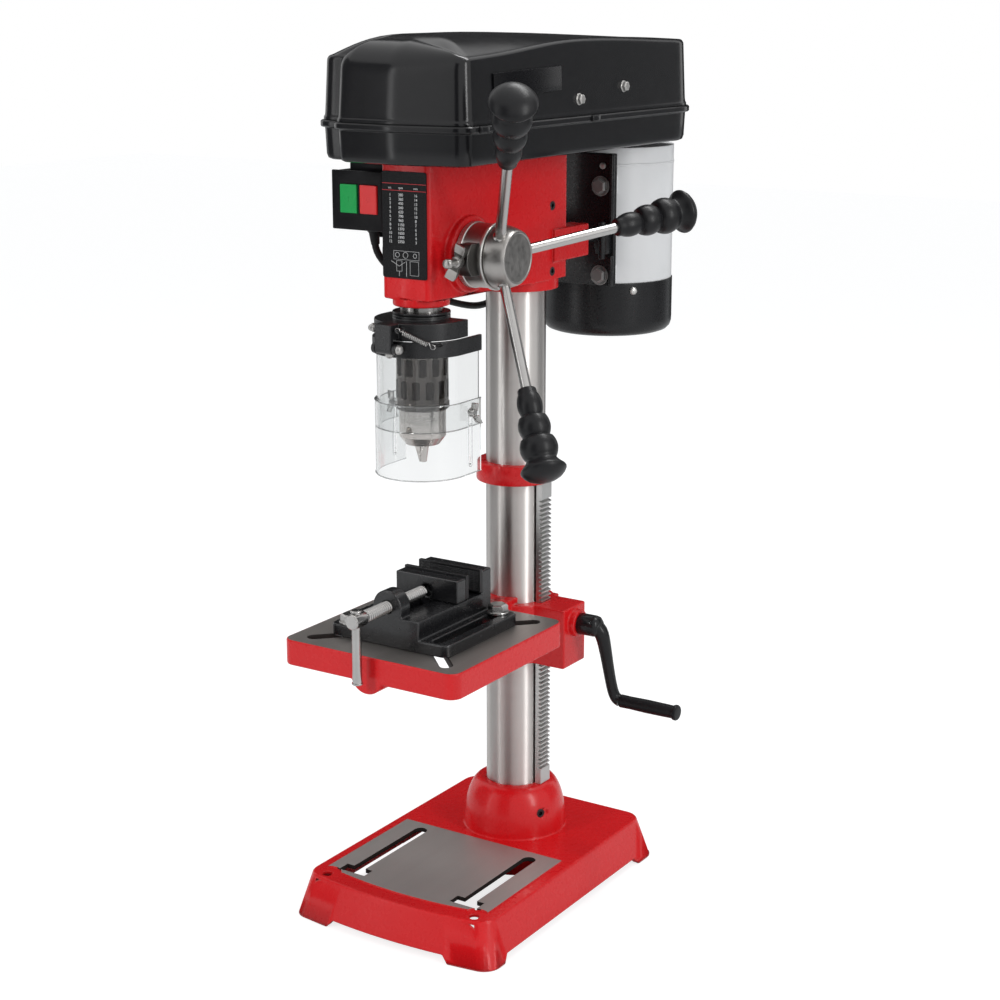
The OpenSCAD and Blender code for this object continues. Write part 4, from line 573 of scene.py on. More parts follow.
def grooved_plate(node, name, body, front):
    plate = block(name, *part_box(node))
    bpy.ops.object.mode_set(mode="EDIT")
    bpy.ops.mesh.select_all(action="DESELECT")
    bpy.ops.object.mode_set(mode="OBJECT")
    for face in plate.data.polygons:
        face.select = face.normal.y * front > 0.9
    bpy.ops.object.mode_set(mode="EDIT")
    bpy.ops.mesh.inset(thickness=0.0015, depth=0)
    bpy.ops.mesh.subdivide(number_cuts=11)
    bpy.ops.mesh.inset(thickness=0.0006, depth=-0.0006, use_individual=True)
    bpy.ops.object.mode_set(mode="OBJECT")
    smooth(plate, 20)
    settle(plate, body, "dark_steel", dark_steel, node)


grooved_plate("vise_fixed_plate", "fixed_jaw_plate", "table", -1)
grooved_plate("vise_moving_plate", "moving_jaw_plate", "jaw", 1)

pitch, screw_z = 0.003, 0.342
thread_line = bpy.data.meshes.new("vise_screw_thread")
thread_line.from_pydata(
    [(0.0051, 0, 0), (0.0060, 0, pitch * 0.35), (0.0060, 0, pitch * 0.6), (0.0051, 0, pitch * 0.95),
     (0.0051, 0, pitch)], [(0, 1), (1, 2), (2, 3), (3, 4)], [])
screw_thread = linked("vise_screw_thread", thread_line)
modify(screw_thread, "SCREW", axis="Z", screw_offset=pitch, steps=28, render_steps=28, iterations=31,
       use_merge_vertices=True)
all_over(screw_thread, bpy.ops.mesh.remove_doubles, threshold=0.00001)
all_over(screw_thread, bpy.ops.mesh.normals_make_consistent, inside=False)
put_at(screw_thread, (0, -0.262, screw_z), (0, 1, 0))
smooth(screw_thread, 40)
settle(screw_thread, "jaw_screw", "steel", bright_steel, "vise_screw")
screw_head = turned("vise_screw_head", [(0.0064, 0), (0.0075, 0.001), (0.0075, 0.0168), (0.0069, 0.0180),
                                        (0.0051, 0.0190), (0.0051, 0.027)], 40)
put_at(screw_head, (0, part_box("vise_screw")[0].y, screw_z), (0, 1, 0))
smooth(screw_head)
settle(screw_head, "jaw_screw", "steel", bright_steel)
low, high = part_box("vise_bar")
bar_long = high.z - low.z
vise_bar = turned("vise_tommy_bar", [
    (0.0044, 0), (0.0052, 0.0006), (0.0054, 0.0014), (0.0052, 0.002), (0.0045, 0.0022), (0.0045, bar_long - 0.0022),
    (0.0052, bar_long - 0.002), (0.0054, bar_long - 0.0014), (0.0052, bar_long - 0.0006), (0.0044, bar_long)], 32)
put_at(vise_bar, (0, -0.273, low.z))
smooth(vise_bar)
settle(vise_bar, "tommy_bar", "chrome", bright_steel, "vise_bar")


def hex_bolt(name, across, height, washer, thick):
    corner = across / 1.732
    head = turned(name, [(corner - 0.0008, 0), (corner, 0), (corner, height - 0.0012), (across / 2 * 0.93, height),
                         (0.0015, height)], 6)
    disc = turned(name + "_washer", [(washer - 0.0004, -thick), (washer, 0.0003 - thick), (washer, -0.0003),
                                     (washer - 0.0004, 0), (0.002, 0)], 40)
    head = joined(name, [head, disc])
    smooth(head, 25)
    return head


bolt_metal = finish("zinc_bolt", (0.42, 0.41, 0.40), (0.54, 0.53, 0.51), (0.3, 0.46), metallic=0.75, scale=700,
                    bump=0.02, edge=0.0006)
vise_bolt = hex_bolt("vise_bolt_right", 0.017, 0.007, 0.011, 0.002)
far_bolt = twin(vise_bolt, "vise_bolt_left")
for bolt, x, y in [(vise_bolt, 0.051, -0.1125), (far_bolt, -0.051, -0.2145)]:
    put_at(bolt, (x, y, 0.3172))
    settle(bolt, "table", "chrome", bright_steel, *(["vise_bolts"] if bolt is vise_bolt else []))


# Head
# A red painted iron casting that carries the quill in its nose and the motor's slide rods in its rear lugs.
# Its socket sits on the column's top, held by two set screws.
def plain_on_head(at):
    under_nose = at.z < 0.640 and at.y > -0.075
    lug_step = at.x > 0.0415 and abs(at.y) < 0.002
    return under_nose or lug_step


head = softened("head_casting", "head_casting_red", 0.0016, split=True, plain=plain_on_head)
settle(head, "stand", "paint_red", red_paint, "head_casting")


# Speed chart
# A thin black printed plate glued to the head's front: twelve rows of plain numbers under two red rules,
# and a small line drawing of the belt drive.
def round_corners(piece, offset, segments, along=None):
    choose(piece)
    bpy.ops.object.mode_set(mode="EDIT")
    bpy.ops.mesh.select_mode(type="EDGE")
    bpy.ops.mesh.select_all(action="DESELECT")
    bpy.ops.object.mode_set(mode="OBJECT")
    for edge in piece.data.edges:
        a, b = (piece.data.vertices[i].co for i in edge.vertices)
        edge.select = along is None or abs((b - a).normalized()[along]) > 0.9
    bpy.ops.object.mode_set(mode="EDIT")
    bpy.ops.mesh.bevel(offset=offset, segments=segments, affect="EDGES", clamp_overlap=True)
    bpy.ops.mesh.select_mode(type="VERT")
    bpy.ops.object.mode_set(mode="OBJECT")
    smooth(piece)
    return piece


def printed(name, words, size, at, line_gap=1.0):
    bpy.ops.object.select_all(action="DESELECT")
    bpy.ops.object.text_add()
    mark = bpy.context.object
    mark.data.body = words
    mark.data.size = size
    mark.data.space_line = line_gap
    mark.data.align_x = "CENTER"
    mark.data.extrude = 0.00004
    bpy.ops.object.convert(target="MESH")
    mark = bpy.context.object
    mark.name = name
    mark.rotation_euler = (math.pi / 2, 0, 0)
    mark.location = at
    bpy.ops.object.transform_apply(location=True, rotation=True, scale=True)
    return mark


chart_film = finish("chart_film", (0.003, 0.003, 0.004), (0.006, 0.006, 0.007), (0.22, 0.32), scale=900,
                    bump=0.03, edge=0.0004, shine=0.12)
chart_ink = finish("chart_ink", (0.66, 0.66, 0.66), (0.78, 0.78, 0.78), (0.4, 0.55), scale=1500, bump=0.02,
                   edge=0.0002)
chart_rule = finish("chart_red_rule", (0.5, 0.02, 0.03), (0.6, 0.03, 0.04), (0.4, 0.5), scale=1500, bump=0.02,
                    edge=0.0002)
low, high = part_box("speed_plate")
top_margin = Vector((0, 0, 0.0035))
chart = round_corners(block("speed_chart", low, high - top_margin), 0.0022, 4, along=1)
settle(chart, "stand", "chart_black", chart_film, "speed_plate")
chart_face = low.y - 0.00005
speeds = [280, 360, 430, 540, 620, 790, 960, 1150, 1370, 1650, 1990, 2350]
widest = [16, 14, 13, 12, 11, 10, 8, 7, 6, 5, 4, 3]
columns = [("no.", range(1, 13), -0.0154), ("rpm", speeds, -0.0036), ("mm", widest, 0.0129)]
marks = [printed("chart_column", "\n".join(map(str, rows)), 0.0036, (x, chart_face, high.z - 0.0257), 1.065)
         for heading, rows, x in columns]
marks += [printed("chart_heading", heading, 0.0031, (x, chart_face, high.z - 0.0192)) for heading, rows, x in columns]
line, drawing_z = 0.00018, low.z + 0.002
for path in [[(-0.012, 0.0230), (0.016, 0.0230), (0.016, 0.0153), (-0.012, 0.0153)],
             [(0.006, 0.0140), (0.0155, 0.0140), (0.0155, 0.0013), (0.006, 0.0013)],
             [(-0.009, 0.0140), (-0.003, 0.0140), (-0.003, 0.0045), (-0.009, 0.0045)]]:
    marks.append(tube("chart_line", [(x, chart_face, drawing_z + z) for x, z in path], line, 1, True))
for path in [[(-0.015, 0.0135), (-0.006, 0.0090)], [(0.001, 0.0135), (-0.006, 0.0090)],
             [(-0.006, 0.0045), (-0.006, 0)], [(0.002, 0.0140), (0.002, 0)]]:
    marks.append(tube("chart_line", [(x, chart_face, drawing_z + z) for x, z in path], line, 1))
for x, z, r in [(-0.008, 0.0193, 0.0022), (0.001, 0.0193, 0.0027), (0.0115, 0.0193, 0.0019)]:
    marks.append(tube("chart_ring", [(x + r * math.cos(k / 3), chart_face, drawing_z + z + r * math.sin(k / 3))
                                     for k in range(19)], line, 1, True))
settle(joined("chart_numbers", marks), "stand", "chart_black", chart_ink)
rules = [block("chart_rule", (-0.0242, low.y - 0.0001, z), (0.0242, low.y + 0.0002, z + 0.0005))
         for z in (high.z - 0.0146, high.z - 0.0208)]
rules = joined("chart_rules", rules)
round_corners(rules, 0.00008, 1)
settle(rules, "stand", "chart_black", chart_rule)


# Quill and spindle
# A ground steel tube that slides in the head's nose and holds the spindle in two bearings.
quill_steel = finish("quill_steel", (0.30, 0.29, 0.28), (0.42, 0.41, 0.40), (0.14, 0.26), metallic=1.0, scale=300,
                     stretch=(0.06, 0.06, 1), bump=0.008, edge=0.0006)
for node in ("quill", "quill_bearings", "spindle"):
    dress(node, quill_steel)


# Drill chuck
# A hardened steel keyed chuck on the spindle's nose: a bright body with three key holes, a blackened sleeve with
# grip flutes and a ring of teeth at its lower edge, and three round jaws.
chuck_black = finish("chuck_black_oxide", (0.075, 0.066, 0.061), (0.11, 0.10, 0.094), (0.18, 0.28), metallic=0.9,
                     scale=500, bump=0.002, edge=0.0006, edge_highlight_tone=(0.3, 0.28, 0.26))
chuck_steel = finish("chuck_steel", (0.54, 0.505, 0.48), (0.66, 0.62, 0.595), (0.16, 0.3), metallic=1.0, scale=380,
                     stretch=(0.08, 0.08, 1), bump=0.01, edge=0.0006)
dress("chuck_body", chuck_steel)
for k in (1, 2, 3):
    dress("chuck_jaw_%d" % k, chuck_steel)
spindle_y = -0.164
tooth_reach, flute_reach, around = 0.0254, 0.0247, 120
sleeve_steps = [
    (0.0222, 0.522), (0.0240, 0.522), (tooth_reach, 0.5235), (tooth_reach, 0.5284), (0.0246, 0.5292),
    (0.0246, 0.5325), (flute_reach, 0.5335), (flute_reach, 0.5495), (0.0246, 0.5505), (0.0246, 0.5545),
    (flute_reach, 0.5555), (flute_reach, 0.5705), (0.0246, 0.5715), (0.0246, 0.5745), (0.0236, 0.577),
    (0.0222, 0.577)]
sleeve = turned("chuck_sleeve_fluted", sleeve_steps, around, ring=True)
for v in sleeve.data.vertices:
    spot = round(math.atan2(v.co.y, v.co.x) / (2 * math.pi / around)) % around
    reach = math.hypot(v.co.x, v.co.y)
    cut = 0
    if abs(reach - tooth_reach) < 0.0001 and spot % 5 in (0, 1):
        cut = 0.0014
    elif abs(reach - flute_reach) < 0.00004 and (spot // 5 + (v.co.z > 0.552)) % 2:
        cut = 0.0013
    v.co.x *= (reach - cut) / reach
    v.co.y *= (reach - cut) / reach
put_at(sleeve, (0, spindle_y, 0))
smooth(sleeve, 28)
settle(sleeve, "sleeve", "dark_steel", chuck_black, "chuck_sleeve")
# The recessed flute windows take the near-black: painted shade in the recesses.
face_with(sleeve, slot_shade,
          lambda at, up: 0.533 < at.z < 0.571 and math.hypot(at.x, at.y - spindle_y) < 0.0242)


# Chuck guard
# A black plastic collar clamps the quill, and a hinged half ring in front of the chuck holds two clear
# plastic shields. Wing nuts set the lower shield's height and a small spring keeps the ring down.
guard_plastic = finish("guard_plastic", (0.007, 0.007, 0.008), (0.012, 0.012, 0.013), (0.24, 0.36), scale=700,
                       bump=0.05, edge=0.001, edge_highlight_tone=(0.05, 0.05, 0.05), shine=0.5)
clamp = softened("guard_clamp", "guard_collar", 0.0008)
settle(clamp, "quill", "black_plastic", guard_plastic, "guard_clamp")
half_ring = softened("guard_ring", "guard_half_ring", 0.0007, split=True)
settle(half_ring, "guard", "black_plastic", guard_plastic, "guard_ring")
collar_flange = turned("collar_flange", [(0.0204, 0.6112), (0.0268, 0.6112), (0.0272, 0.6118), (0.0272, 0.6132),
                                         (0.0268, 0.6138), (0.0204, 0.6138)], 64, ring=True)
put_at(collar_flange, (0, spindle_y, 0))
smooth(collar_flange)
settle(collar_flange, "quill", "dark_steel", dark_steel)

clear_plastic, tree, shader = new_material("clear_shield_plastic")
skin = new_node(tree, "ShaderNodeGroup", {"Scale": 120, "Stretch": (1, 1, 0.3)}, node_tree=fine_grain)
haze = new_node(tree, "ShaderNodeMapRange", {
    "Value": skin.outputs["Fine"], "From Min": 0.3, "From Max": 0.75, "To Min": 0.0, "To Max": 0.07})
wire(tree, shader, {"Base Color": (0.86, 0.87, 0.87, 1), "Transmission Weight": 1.0, "IOR": 1.46,
                    "Roughness": haze.outputs["Result"]})
for node in ("guard_shield", "guard_lower_shield"):
    dress(node, clear_plastic)

edge_plastic = clear_plastic.copy()
edge_plastic.name = "clear_shield_edge"
edge_plastic.node_tree.nodes["Principled BSDF"].inputs["Base Color"].default_value = (0.76, 0.77, 0.77, 1)
guard_y = -0.150
for node, name, body in [
        ("guard_shield", "shield_rim", "guard"), ("guard_lower_shield", "lower_shield_rim", "lower_guard")]:
    low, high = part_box(node)
    lines = []
    for end in (low.z, high.z):
        rim = {(round(v.co.x, 4), round(v.co.y, 4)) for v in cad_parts[node].data.vertices
               if abs(v.co.z - end) < 0.0004 and (
                   abs(abs(v.co.x) - high.x) < 0.0004
                   or abs(math.hypot(v.co.x, v.co.y - spindle_y) - high.x) < 0.0006)}
        rim = sorted(rim, key=lambda at: math.atan2(at[0], guard_y - at[1]))
        lines.append(tube(name + "_line", [(x, y, end) for x, y in rim], 0.0006, 2))
    if body == "lower_guard":
        slot_r, slot_ends = 0.0027, [(0.5175, range(-3, 4)), (0.4705, range(3, 10))]
        corners = [(z, k * math.pi / 6) for z, turns in slot_ends for k in turns]
        for side in (-1, 1):
            loop = [(side * (high.x + 0.0002), guard_y + slot_r * math.sin(a), z + slot_r * math.cos(a))
                    for z, a in corners]
            lines.append(tube(name + "_slot", loop, 0.0004, 1, True))
    settle(joined(name, lines), body, "clear_plastic", edge_plastic)

wing_hub = turned("wing_hub", [
    (0.0042, 0), (0.0046, 0.0006), (0.0040, 0.0046), (0.0034, 0.0052), (0.0012, 0.0052)], 24)
wings = []
for side in (-1, 1):
    wing = block("wing", (-0.0009, 0.0024, 0.001), (0.0009, 0.0105, 0.0088))
    for v in wing.data.vertices:
        if v.co.y > 0.008:
            v.co.z += 0.0026
        v.co.y *= side
    all_over(wing, bpy.ops.mesh.normals_make_consistent, inside=False)
    wings.append(round_corners(wing, 0.0006, 2))
wing_nut = joined("wing_nut_right", [wing_hub] + wings)
left_nut = twin(wing_nut, "wing_nut_left")
shield_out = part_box("guard_lower_shield")[1].x
for nut, side in [(wing_nut, 1), (left_nut, -1)]:
    all_over(nut, bpy.ops.transform.rotate, value=math.radians(72), orient_axis="Z", center_override=(0, 0, 0))
    put_at(nut, (side * (shield_out + 0.0003), guard_y, 0.520), (side, 0, 0))
    smooth(nut)
    settle(nut, "guard", "chrome", bright_steel)
hinge_pin = turned("guard_hinge_pin", [(0.0012, -0.0185), (0.0021, -0.0182), (0.0021, 0.0095), (0.0042, 0.0096),
                                       (0.0042, 0.0116), (0.0034, 0.0132), (0.0018, 0.0140)], 24)
put_at(hinge_pin, (0, -0.2156, 0.585), (1, 0, 0))
smooth(hinge_pin)
settle(hinge_pin, "guard", "chrome", bolt_metal, "guard_screws")
acorn = turned("guard_acorn_nut", [(0.0042, 0), (0.0042, 0.0024), (0.0033, 0.003), (0.0030, 0.0044),
                                   (0.0018, 0.0058), (0.0006, 0.0062)], 18)
collar_screw = twin(acorn, "collar_screw")
put_at(acorn, (-0.003, -0.2098, 0.5795), (0, -1, -0.1))
smooth(acorn)
settle(acorn, "guard", "chrome", bolt_metal)
put_at(collar_screw, (-0.0300, -0.1965, 0.5995), (-0.68, -0.73, 0))
smooth(collar_screw)
settle(collar_screw, "quill", "chrome", bolt_metal)

coil_from, coil_to = Vector((0.009, -0.215, 0.6025)), Vector((0.038, -0.201, 0.588))
coil_axis = (coil_to - coil_from).normalized()
coil_u = coil_axis.cross(Vector((0, 1, 0))).normalized()
coil_v = coil_axis.cross(coil_u)
coil_span = (coil_to - coil_from).length
coil_wire, coil_r, coils, steps_round = 0.0005, 0.0022, 14, 14
lead = 0.0052
coil_path = []
for k in range(coils * steps_round + 1):
    t = k / (coils * steps_round)
    spin = 2 * math.pi * coils * t
    coil_path.append(coil_from + coil_axis * (lead + (coil_span - 2 * lead) * t)
                     + coil_r * (math.cos(spin) * coil_u + math.sin(spin) * coil_v))
hook = [(0.0046, 0.8), (0.0036, 0.3), (0.0026, 0.0)]
eye = [coil_r * (math.cos(k * 0.5) * coil_axis + math.sin(k * 0.5) * coil_u) for k in range(1, 12)]
eye_a = [coil_from + step for step in reversed(eye)]
start = [coil_from + coil_axis * d + coil_u * coil_r * k for d, k in reversed(hook)]
stop = [coil_to - coil_axis * d + coil_u * coil_r * k for d, k in hook]
eye_b = [coil_to - step for step in eye]
spring_wire = finish("spring_wire", (0.42, 0.41, 0.40), (0.55, 0.54, 0.53), (0.18, 0.3), metallic=1.0, scale=1500,
                     bump=0.03, edge=0.0002)
guard_spring = tube("guard_return_coil", eye_a + start + coil_path + stop + eye_b, coil_wire, 2)
guard_spring.data.materials.append(spring_wire)
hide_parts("guard_spring")
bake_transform(guard_spring)


# Feed shaft, hub and handles
# A pinion shaft ends in a turned steel hub. Three slanting chromed rods are screwed into it, each with a moulded
# black rubber grip of three swelling ribs and a wide domed end.
hub_steel = finish("hub_steel", (0.34, 0.325, 0.31), (0.44, 0.425, 0.41), (0.28, 0.38), metallic=1.0, scale=420,
                   stretch=(1, 0.25, 0.25), bump=0.004, edge=0.001, edge_highlight_tone=(0.5, 0.49, 0.47))
rod_chrome = finish("rod_chrome", (0.42, 0.41, 0.40), (0.50, 0.49, 0.48), (0.18, 0.26), metallic=1.0, scale=900,
                    bump=0.004, edge=0.0004)
handle_rubber = finish("handle_rubber", (0.006, 0.006, 0.007), (0.011, 0.011, 0.012), (0.3, 0.42), scale=1300,
                       bump=0.05, edge=0.0008, shine=0.26)
dress("feed_shaft", rack_steel)
hub = softened("feed_hub", "feed_hub_turned", 0.0007)
settle(hub, "feed", "steel", hub_steel, "feed_hub")
hub_disc = turned("feed_hub_disc", [
    (0.0190, 0.0656), (0.0288, 0.0656), (0.0294, 0.0662), (0.0292, 0.0700), (0.0284, 0.0748), (0.0272, 0.0790),
    (0.0258, 0.0828), (0.0248, 0.0848), (0.0240, 0.0856), (0.0226, 0.0858), (0.0222, 0.0854), (0.0015, 0.0854)], 96)
feed_y, feed_z = -0.132, 0.6645
put_at(hub_disc, (0, feed_y, feed_z), (1, 0, 0))
smooth(hub_disc, 30)
settle(hub_disc, "feed", "steel", hub_steel)
hub_face = finish("hub_face_steel", (0.12, 0.115, 0.11), (0.50, 0.485, 0.47), (0.25, 0.5), metallic=1.0, scale=190,
                  bump=0.03, edge=0.0008)
face_with(hub_disc, hub_face, lambda at, up: up.x > 0.95 and at.x > 0.085)
ribs = [(0.0054, 0), (0.0078, 0), (0.0086, 0.0012), (0.0088, 0.005)]
for k, (rib, waist) in enumerate([(0.0116, 0.0092), (0.0148, 0.0116), (0.0174, 0.0138)]):
    for a in range(15, 181, 15):
        ribs.append((waist + (rib - waist) * math.sin(math.radians(a)) ** 0.8 if a < 180 else waist,
                     0.006 + 0.0225 * (k + a / 180)))
ribs += [(0.0142, 0.0755), (0.0158, 0.078), (0.0184, 0.081), (0.0203, 0.083), (0.0210, 0.0848), (0.0208, 0.0862),
         (0.0188, 0.0895), (0.0155, 0.0928), (0.0110, 0.0953), (0.0060, 0.0966), (0.0016, 0.0970)]
squeezed = 0.91
grip = turned("handle_grip_1", [(reach, squeezed * high) for reach, high in ribs], 48)
smooth(grip, 50)
rod = turned("handle_rod_1", [(0.0040, 0.0150), (0.0062, 0.0150), (0.0066, 0.0156), (0.0066, 0.0300),
                              (0.0060, 0.0306), (0.0050, 0.0310), (0.0050, 0.1420), (0.0040, 0.1430)], 40)
smooth(rod, 30)
lean, hub_middle, grip_from = math.radians(25.8), Vector((0.0640, feed_y, feed_z)), 0.1315
grips = [grip, twin(grip, "handle_grip_2"), twin(grip, "handle_grip_3")]
rods = [rod, twin(rod, "handle_rod_2"), twin(rod, "handle_rod_3")]
for k, (shank, piece) in enumerate(zip(rods, grips)):
    spin = math.radians(9 + 120 * k - 90)
    along = Vector((math.sin(lean), -math.cos(lean) * math.sin(spin), math.cos(lean) * math.cos(spin)))
    put_at(shank, hub_middle, along)
    settle(shank, "feed", "chrome", rod_chrome, *(["feed_rods"] if k == 0 else []))
    put_at(piece, hub_middle + along * grip_from, along)
    settle(piece, "feed", "black_rubber", handle_rubber, *(["feed_grips"] if k == 0 else []))


# Depth stop
# A turned steel drum on the hub with a pale graduated edge, and a split lug that a thumb screw closes.
scale_metal = finish("scale_metal", (0.48, 0.47, 0.45), (0.58, 0.57, 0.55), (0.28, 0.42), metallic=0.9, scale=500,
                     bump=0.05, edge=0.0006)
drum = turned("depth_drum", [
    (0.0182, 0.0363), (0.0300, 0.0363), (0.0306, 0.0368), (0.0306, 0.0415), (0.0298, 0.0420), (0.0296, 0.0424),
    (0.0296, 0.0612), (0.0300, 0.0616), (0.0310, 0.0620), (0.0312, 0.0626), (0.0312, 0.0642), (0.0306, 0.0650),
    (0.0296, 0.0652), (0.0182, 0.0652)], 96, ring=True)
put_at(drum, (0, feed_y, feed_z), (1, 0, 0))
smooth(drum, 30)
settle(drum, "depth_stop", "steel", hub_steel, "depth_ring")
face_with(drum, scale_metal, lambda at, up: at.x < 0.0419 or (at.x > 0.0618 and up.x < 0.9))


def spun(piece, angle):
    for v in piece.data.vertices:
        x, y = v.co.x, v.co.y
        v.co.x, v.co.y = x * math.cos(angle) - y * math.sin(angle), x * math.sin(angle) + y * math.cos(angle)
    return piece


ticks = []
tick = block("depth_tick", (-0.00012, 0.03055, 0), (0.00012, 0.0307, 0.0024))
for k in range(60):
    mark = twin(tick, "depth_tick_copy")
    for v in mark.data.vertices:
        if k % 5 == 0 and v.co.z > 0.001:
            v.co.z = 0.004
    ticks.append(spun(mark, math.radians(6 * k)))
bpy.data.objects.remove(tick)
ticks = joined("depth_scale_marks", ticks)
put_at(ticks, (0.0371, feed_y, feed_z), (1, 0, 0))
settle(ticks, "depth_stop", "dark_steel", dark_steel)
lug = block("depth_lug", (0.0470, -0.1775, 0.6500), (0.0600, -0.158, 0.6790))
all_over(lug, bpy.ops.mesh.subdivide, number_cuts=5)
for v in lug.data.vertices:
    lift = (v.co.z - feed_z) / 0.0145
    if v.co.y < -0.160:
        v.co.y += 0.0072 * lift * lift
modify(lug, "BEVEL", width=0.0009, segments=2, limit_method="ANGLE")
smooth(lug, 40)
wing_iron = finish("wing_screw_iron", (0.05, 0.048, 0.045), (0.09, 0.086, 0.08), (0.3, 0.45), metallic=0.9, scale=500,
                   bump=0.05, edge=0.0009, edge_highlight_tone=(0.25, 0.24, 0.23))
settle(lug, "depth_stop", "dark_steel", wing_iron)
half_wing = 0.0165
wing_plate = block("wing_plate", (-half_wing, -0.0055, 0.0060), (half_wing, 0.0055, 0.0094))
all_over(wing_plate, bpy.ops.mesh.subdivide, number_cuts=7)
for v in wing_plate.data.vertices:
    along = abs(v.co.x) / half_wing
    v.co.y *= 0.55 + 0.75 * along - 0.45 * along ** 4
    v.co.z += 0.004 * along * along
all_over(wing_plate, bpy.ops.transform.rotate, value=math.radians(-68), orient_axis="Z",
         center_override=(0, 0, 0))
thumb = turned("thumb_stem", [
    (0.0052, 0.004), (0.0056, 0.005), (0.0056, 0.0098), (0.0050, 0.0106), (0.0034, 0.0110), (0.0034, 0.0205),
    (0.0044, 0.0212), (0.0044, 0.0250), (0.0036, 0.0258), (0.0012, 0.0260)], 24)
thumb = joined("depth_wing_screw", [thumb, wing_plate])
put_at(thumb, (0.0540, -0.1765, feed_z), (0, -1, 0))
smooth(thumb, 50)
settle(thumb, "depth_stop", "dark_steel", wing_iron)
face_with(thumb, hub_steel, lambda at, up: at.y < -0.1872)


# Return spring
# A flat spiral of spring steel in a pressed cap on the left end of the feed shaft, held by a nut.
spring_cap = turned("return_spring_cap", [
    (0.0235, 0.036), (0.0240, 0.0365), (0.0240, 0.0480), (0.0232, 0.0502), (0.0214, 0.0515), (0.0150, 0.052),
    (0.0110, 0.052), (0.0104, 0.0512), (0.0080, 0.0512), (0.0074, 0.0518), (0.0012, 0.0518)], 48)
put_at(spring_cap, (0, feed_y, feed_z), (-1, 0, 0))
smooth(spring_cap, 30)
settle(spring_cap, "stand", "dark_steel", dark_steel, "spring_cap")


def meshed(name, points, faces):
    mesh = bpy.data.meshes.new(name)
    mesh.from_pydata(points, [], faces)
    return linked(name, mesh)


low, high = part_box("return_spring")
inner, outer = 0.0085, (high.z - low.z) / 2 - 0.0006
turns, count = 6, 6 * 40
strip = []
for k in range(count + 1):
    a = 2 * math.pi * turns * k / count
    reach = inner + (outer - inner) * k / count
    for x in (low.x + 0.0003, high.x - 0.0003):
        strip.append((x, feed_y + reach * math.sin(a), feed_z + reach * math.cos(a)))
spiral = meshed("return_spring_ribbon", strip, [(2 * k, 2 * k + 1, 2 * k + 3, 2 * k + 2) for k in range(count)])
modify(spiral, "SOLIDIFY", thickness=0.0007, offset=0)
smooth(spiral, 40)
settle(spiral, "stand", "steel", spring_wire, "return_spring")


# Motor
# A white painted steel body with a rolled band near its top, a black fan cap with slots below and a black
# pressed plate in front. Four dark bolts with wide washers hold the plate, which slides on two rods.
motor_white = finish("motor_white_paint", (0.66, 0.665, 0.67), (0.74, 0.745, 0.75), (0.28, 0.42), scale=240, bump=0.1,
                     edge=0.0015, edge_highlight_tone=(0.8, 0.8, 0.8))
motor_bolt_steel = finish("motor_bolt_steel", (0.12, 0.118, 0.115), (0.22, 0.215, 0.21), (0.3, 0.45), metallic=0.4,
                          scale=700, bump=0.02, edge=0.0008, edge_highlight_tone=(0.5, 0.49, 0.48))
motor_black = finish("motor_black_paint", (0.006, 0.006, 0.007), (0.010, 0.010, 0.011), (0.24, 0.34), scale=420,
                     bump=0.04, edge=0.0012, edge_highlight_tone=(0.05, 0.05, 0.05), shine=0.32)
dress("motor_body", motor_white)
band = turned("motor_band", [(0.0675, 0.7262), (0.0683, 0.7264), (0.0686, 0.7272), (0.0686, 0.7280), (0.0683, 0.7288),
                             (0.0675, 0.7290)], 96, ring=True)
motor_y = 0.184
put_at(band, (0, motor_y, 0))
smooth(band)
settle(band, "motor", "motor_white", motor_white)
fan_cap = turned("motor_fan_cover", [
    (0.0500, 0.5492), (0.0590, 0.5494), (0.0640, 0.5512), (0.0672, 0.5545), (0.0687, 0.5590), (0.0690, 0.5640),
    (0.0690, 0.6056), (0.0684, 0.6060), (0.0676, 0.6060), (0.0676, 0.6036), (0.0600, 0.6036)], 72)
vents = [spun(block("vent_cut", (-0.0022, 0.020, 0.540), (0.0022, 0.050, 0.556)), math.radians(36 * k))
         for k in range(10)]
cut_out(fan_cap, joined("vent_cuts", vents))
put_at(fan_cap, (0, motor_y, 0))
smooth(fan_cap, 30)
settle(fan_cap, "motor", "black_paint", motor_black, "motor_fan_cap")
plate = softened("motor_plate", "motor_slide_plate", 0.0012)
settle(plate, "motor", "black_paint", motor_black, "motor_plate")
lips = [block("plate_lip", (0.0464, 0.1030, bottom), (0.0500, 0.1088, top))
        for bottom, top in [(0.6700, 0.7408), (0.6062, 0.6380)]]
lips.append(block("slide_clamp", (0.0330, 0.0985, 0.6400), (0.0470, 0.1088, 0.6680)))
lips.append(block("clamp_step", (0.0300, 0.1010, 0.6450), (0.0345, 0.1088, 0.6620)))
lips = [round_corners(lip, 0.0012, 2) for lip in lips]
clamp_rod = turned("clamp_rod", [
    (0.0030, 0.6350), (0.0036, 0.6356), (0.0036, 0.6720), (0.0030, 0.6728), (0.001, 0.6730)], 24)
put_at(clamp_rod, (0.0412, 0.0985, 0))
smooth(clamp_rod)
settle(joined("motor_plate_lips", lips + [clamp_rod]), "motor", "black_paint", motor_black)
earth_screw = turned("plate_screw", [(0.0036, 0), (0.0036, 0.0010), (0.0028, 0.0020), (0.0012, 0.0024)], 24)
put_at(earth_screw, (0.0360, 0.1082, 0.7285), (0, -1, 0))
smooth(earth_screw)
settle(earth_screw, "motor", "chrome", bolt_metal)
first_bolt = hex_bolt("motor_bolt_1", 0.0145, 0.005, 0.0102, 0.0016)
spots = [(0.034, 0.617), (0.034, 0.708), (-0.034, 0.617), (-0.034, 0.708)]
bolts = [first_bolt] + [twin(first_bolt, "motor_bolt_%d" % k) for k in (2, 3, 4)]
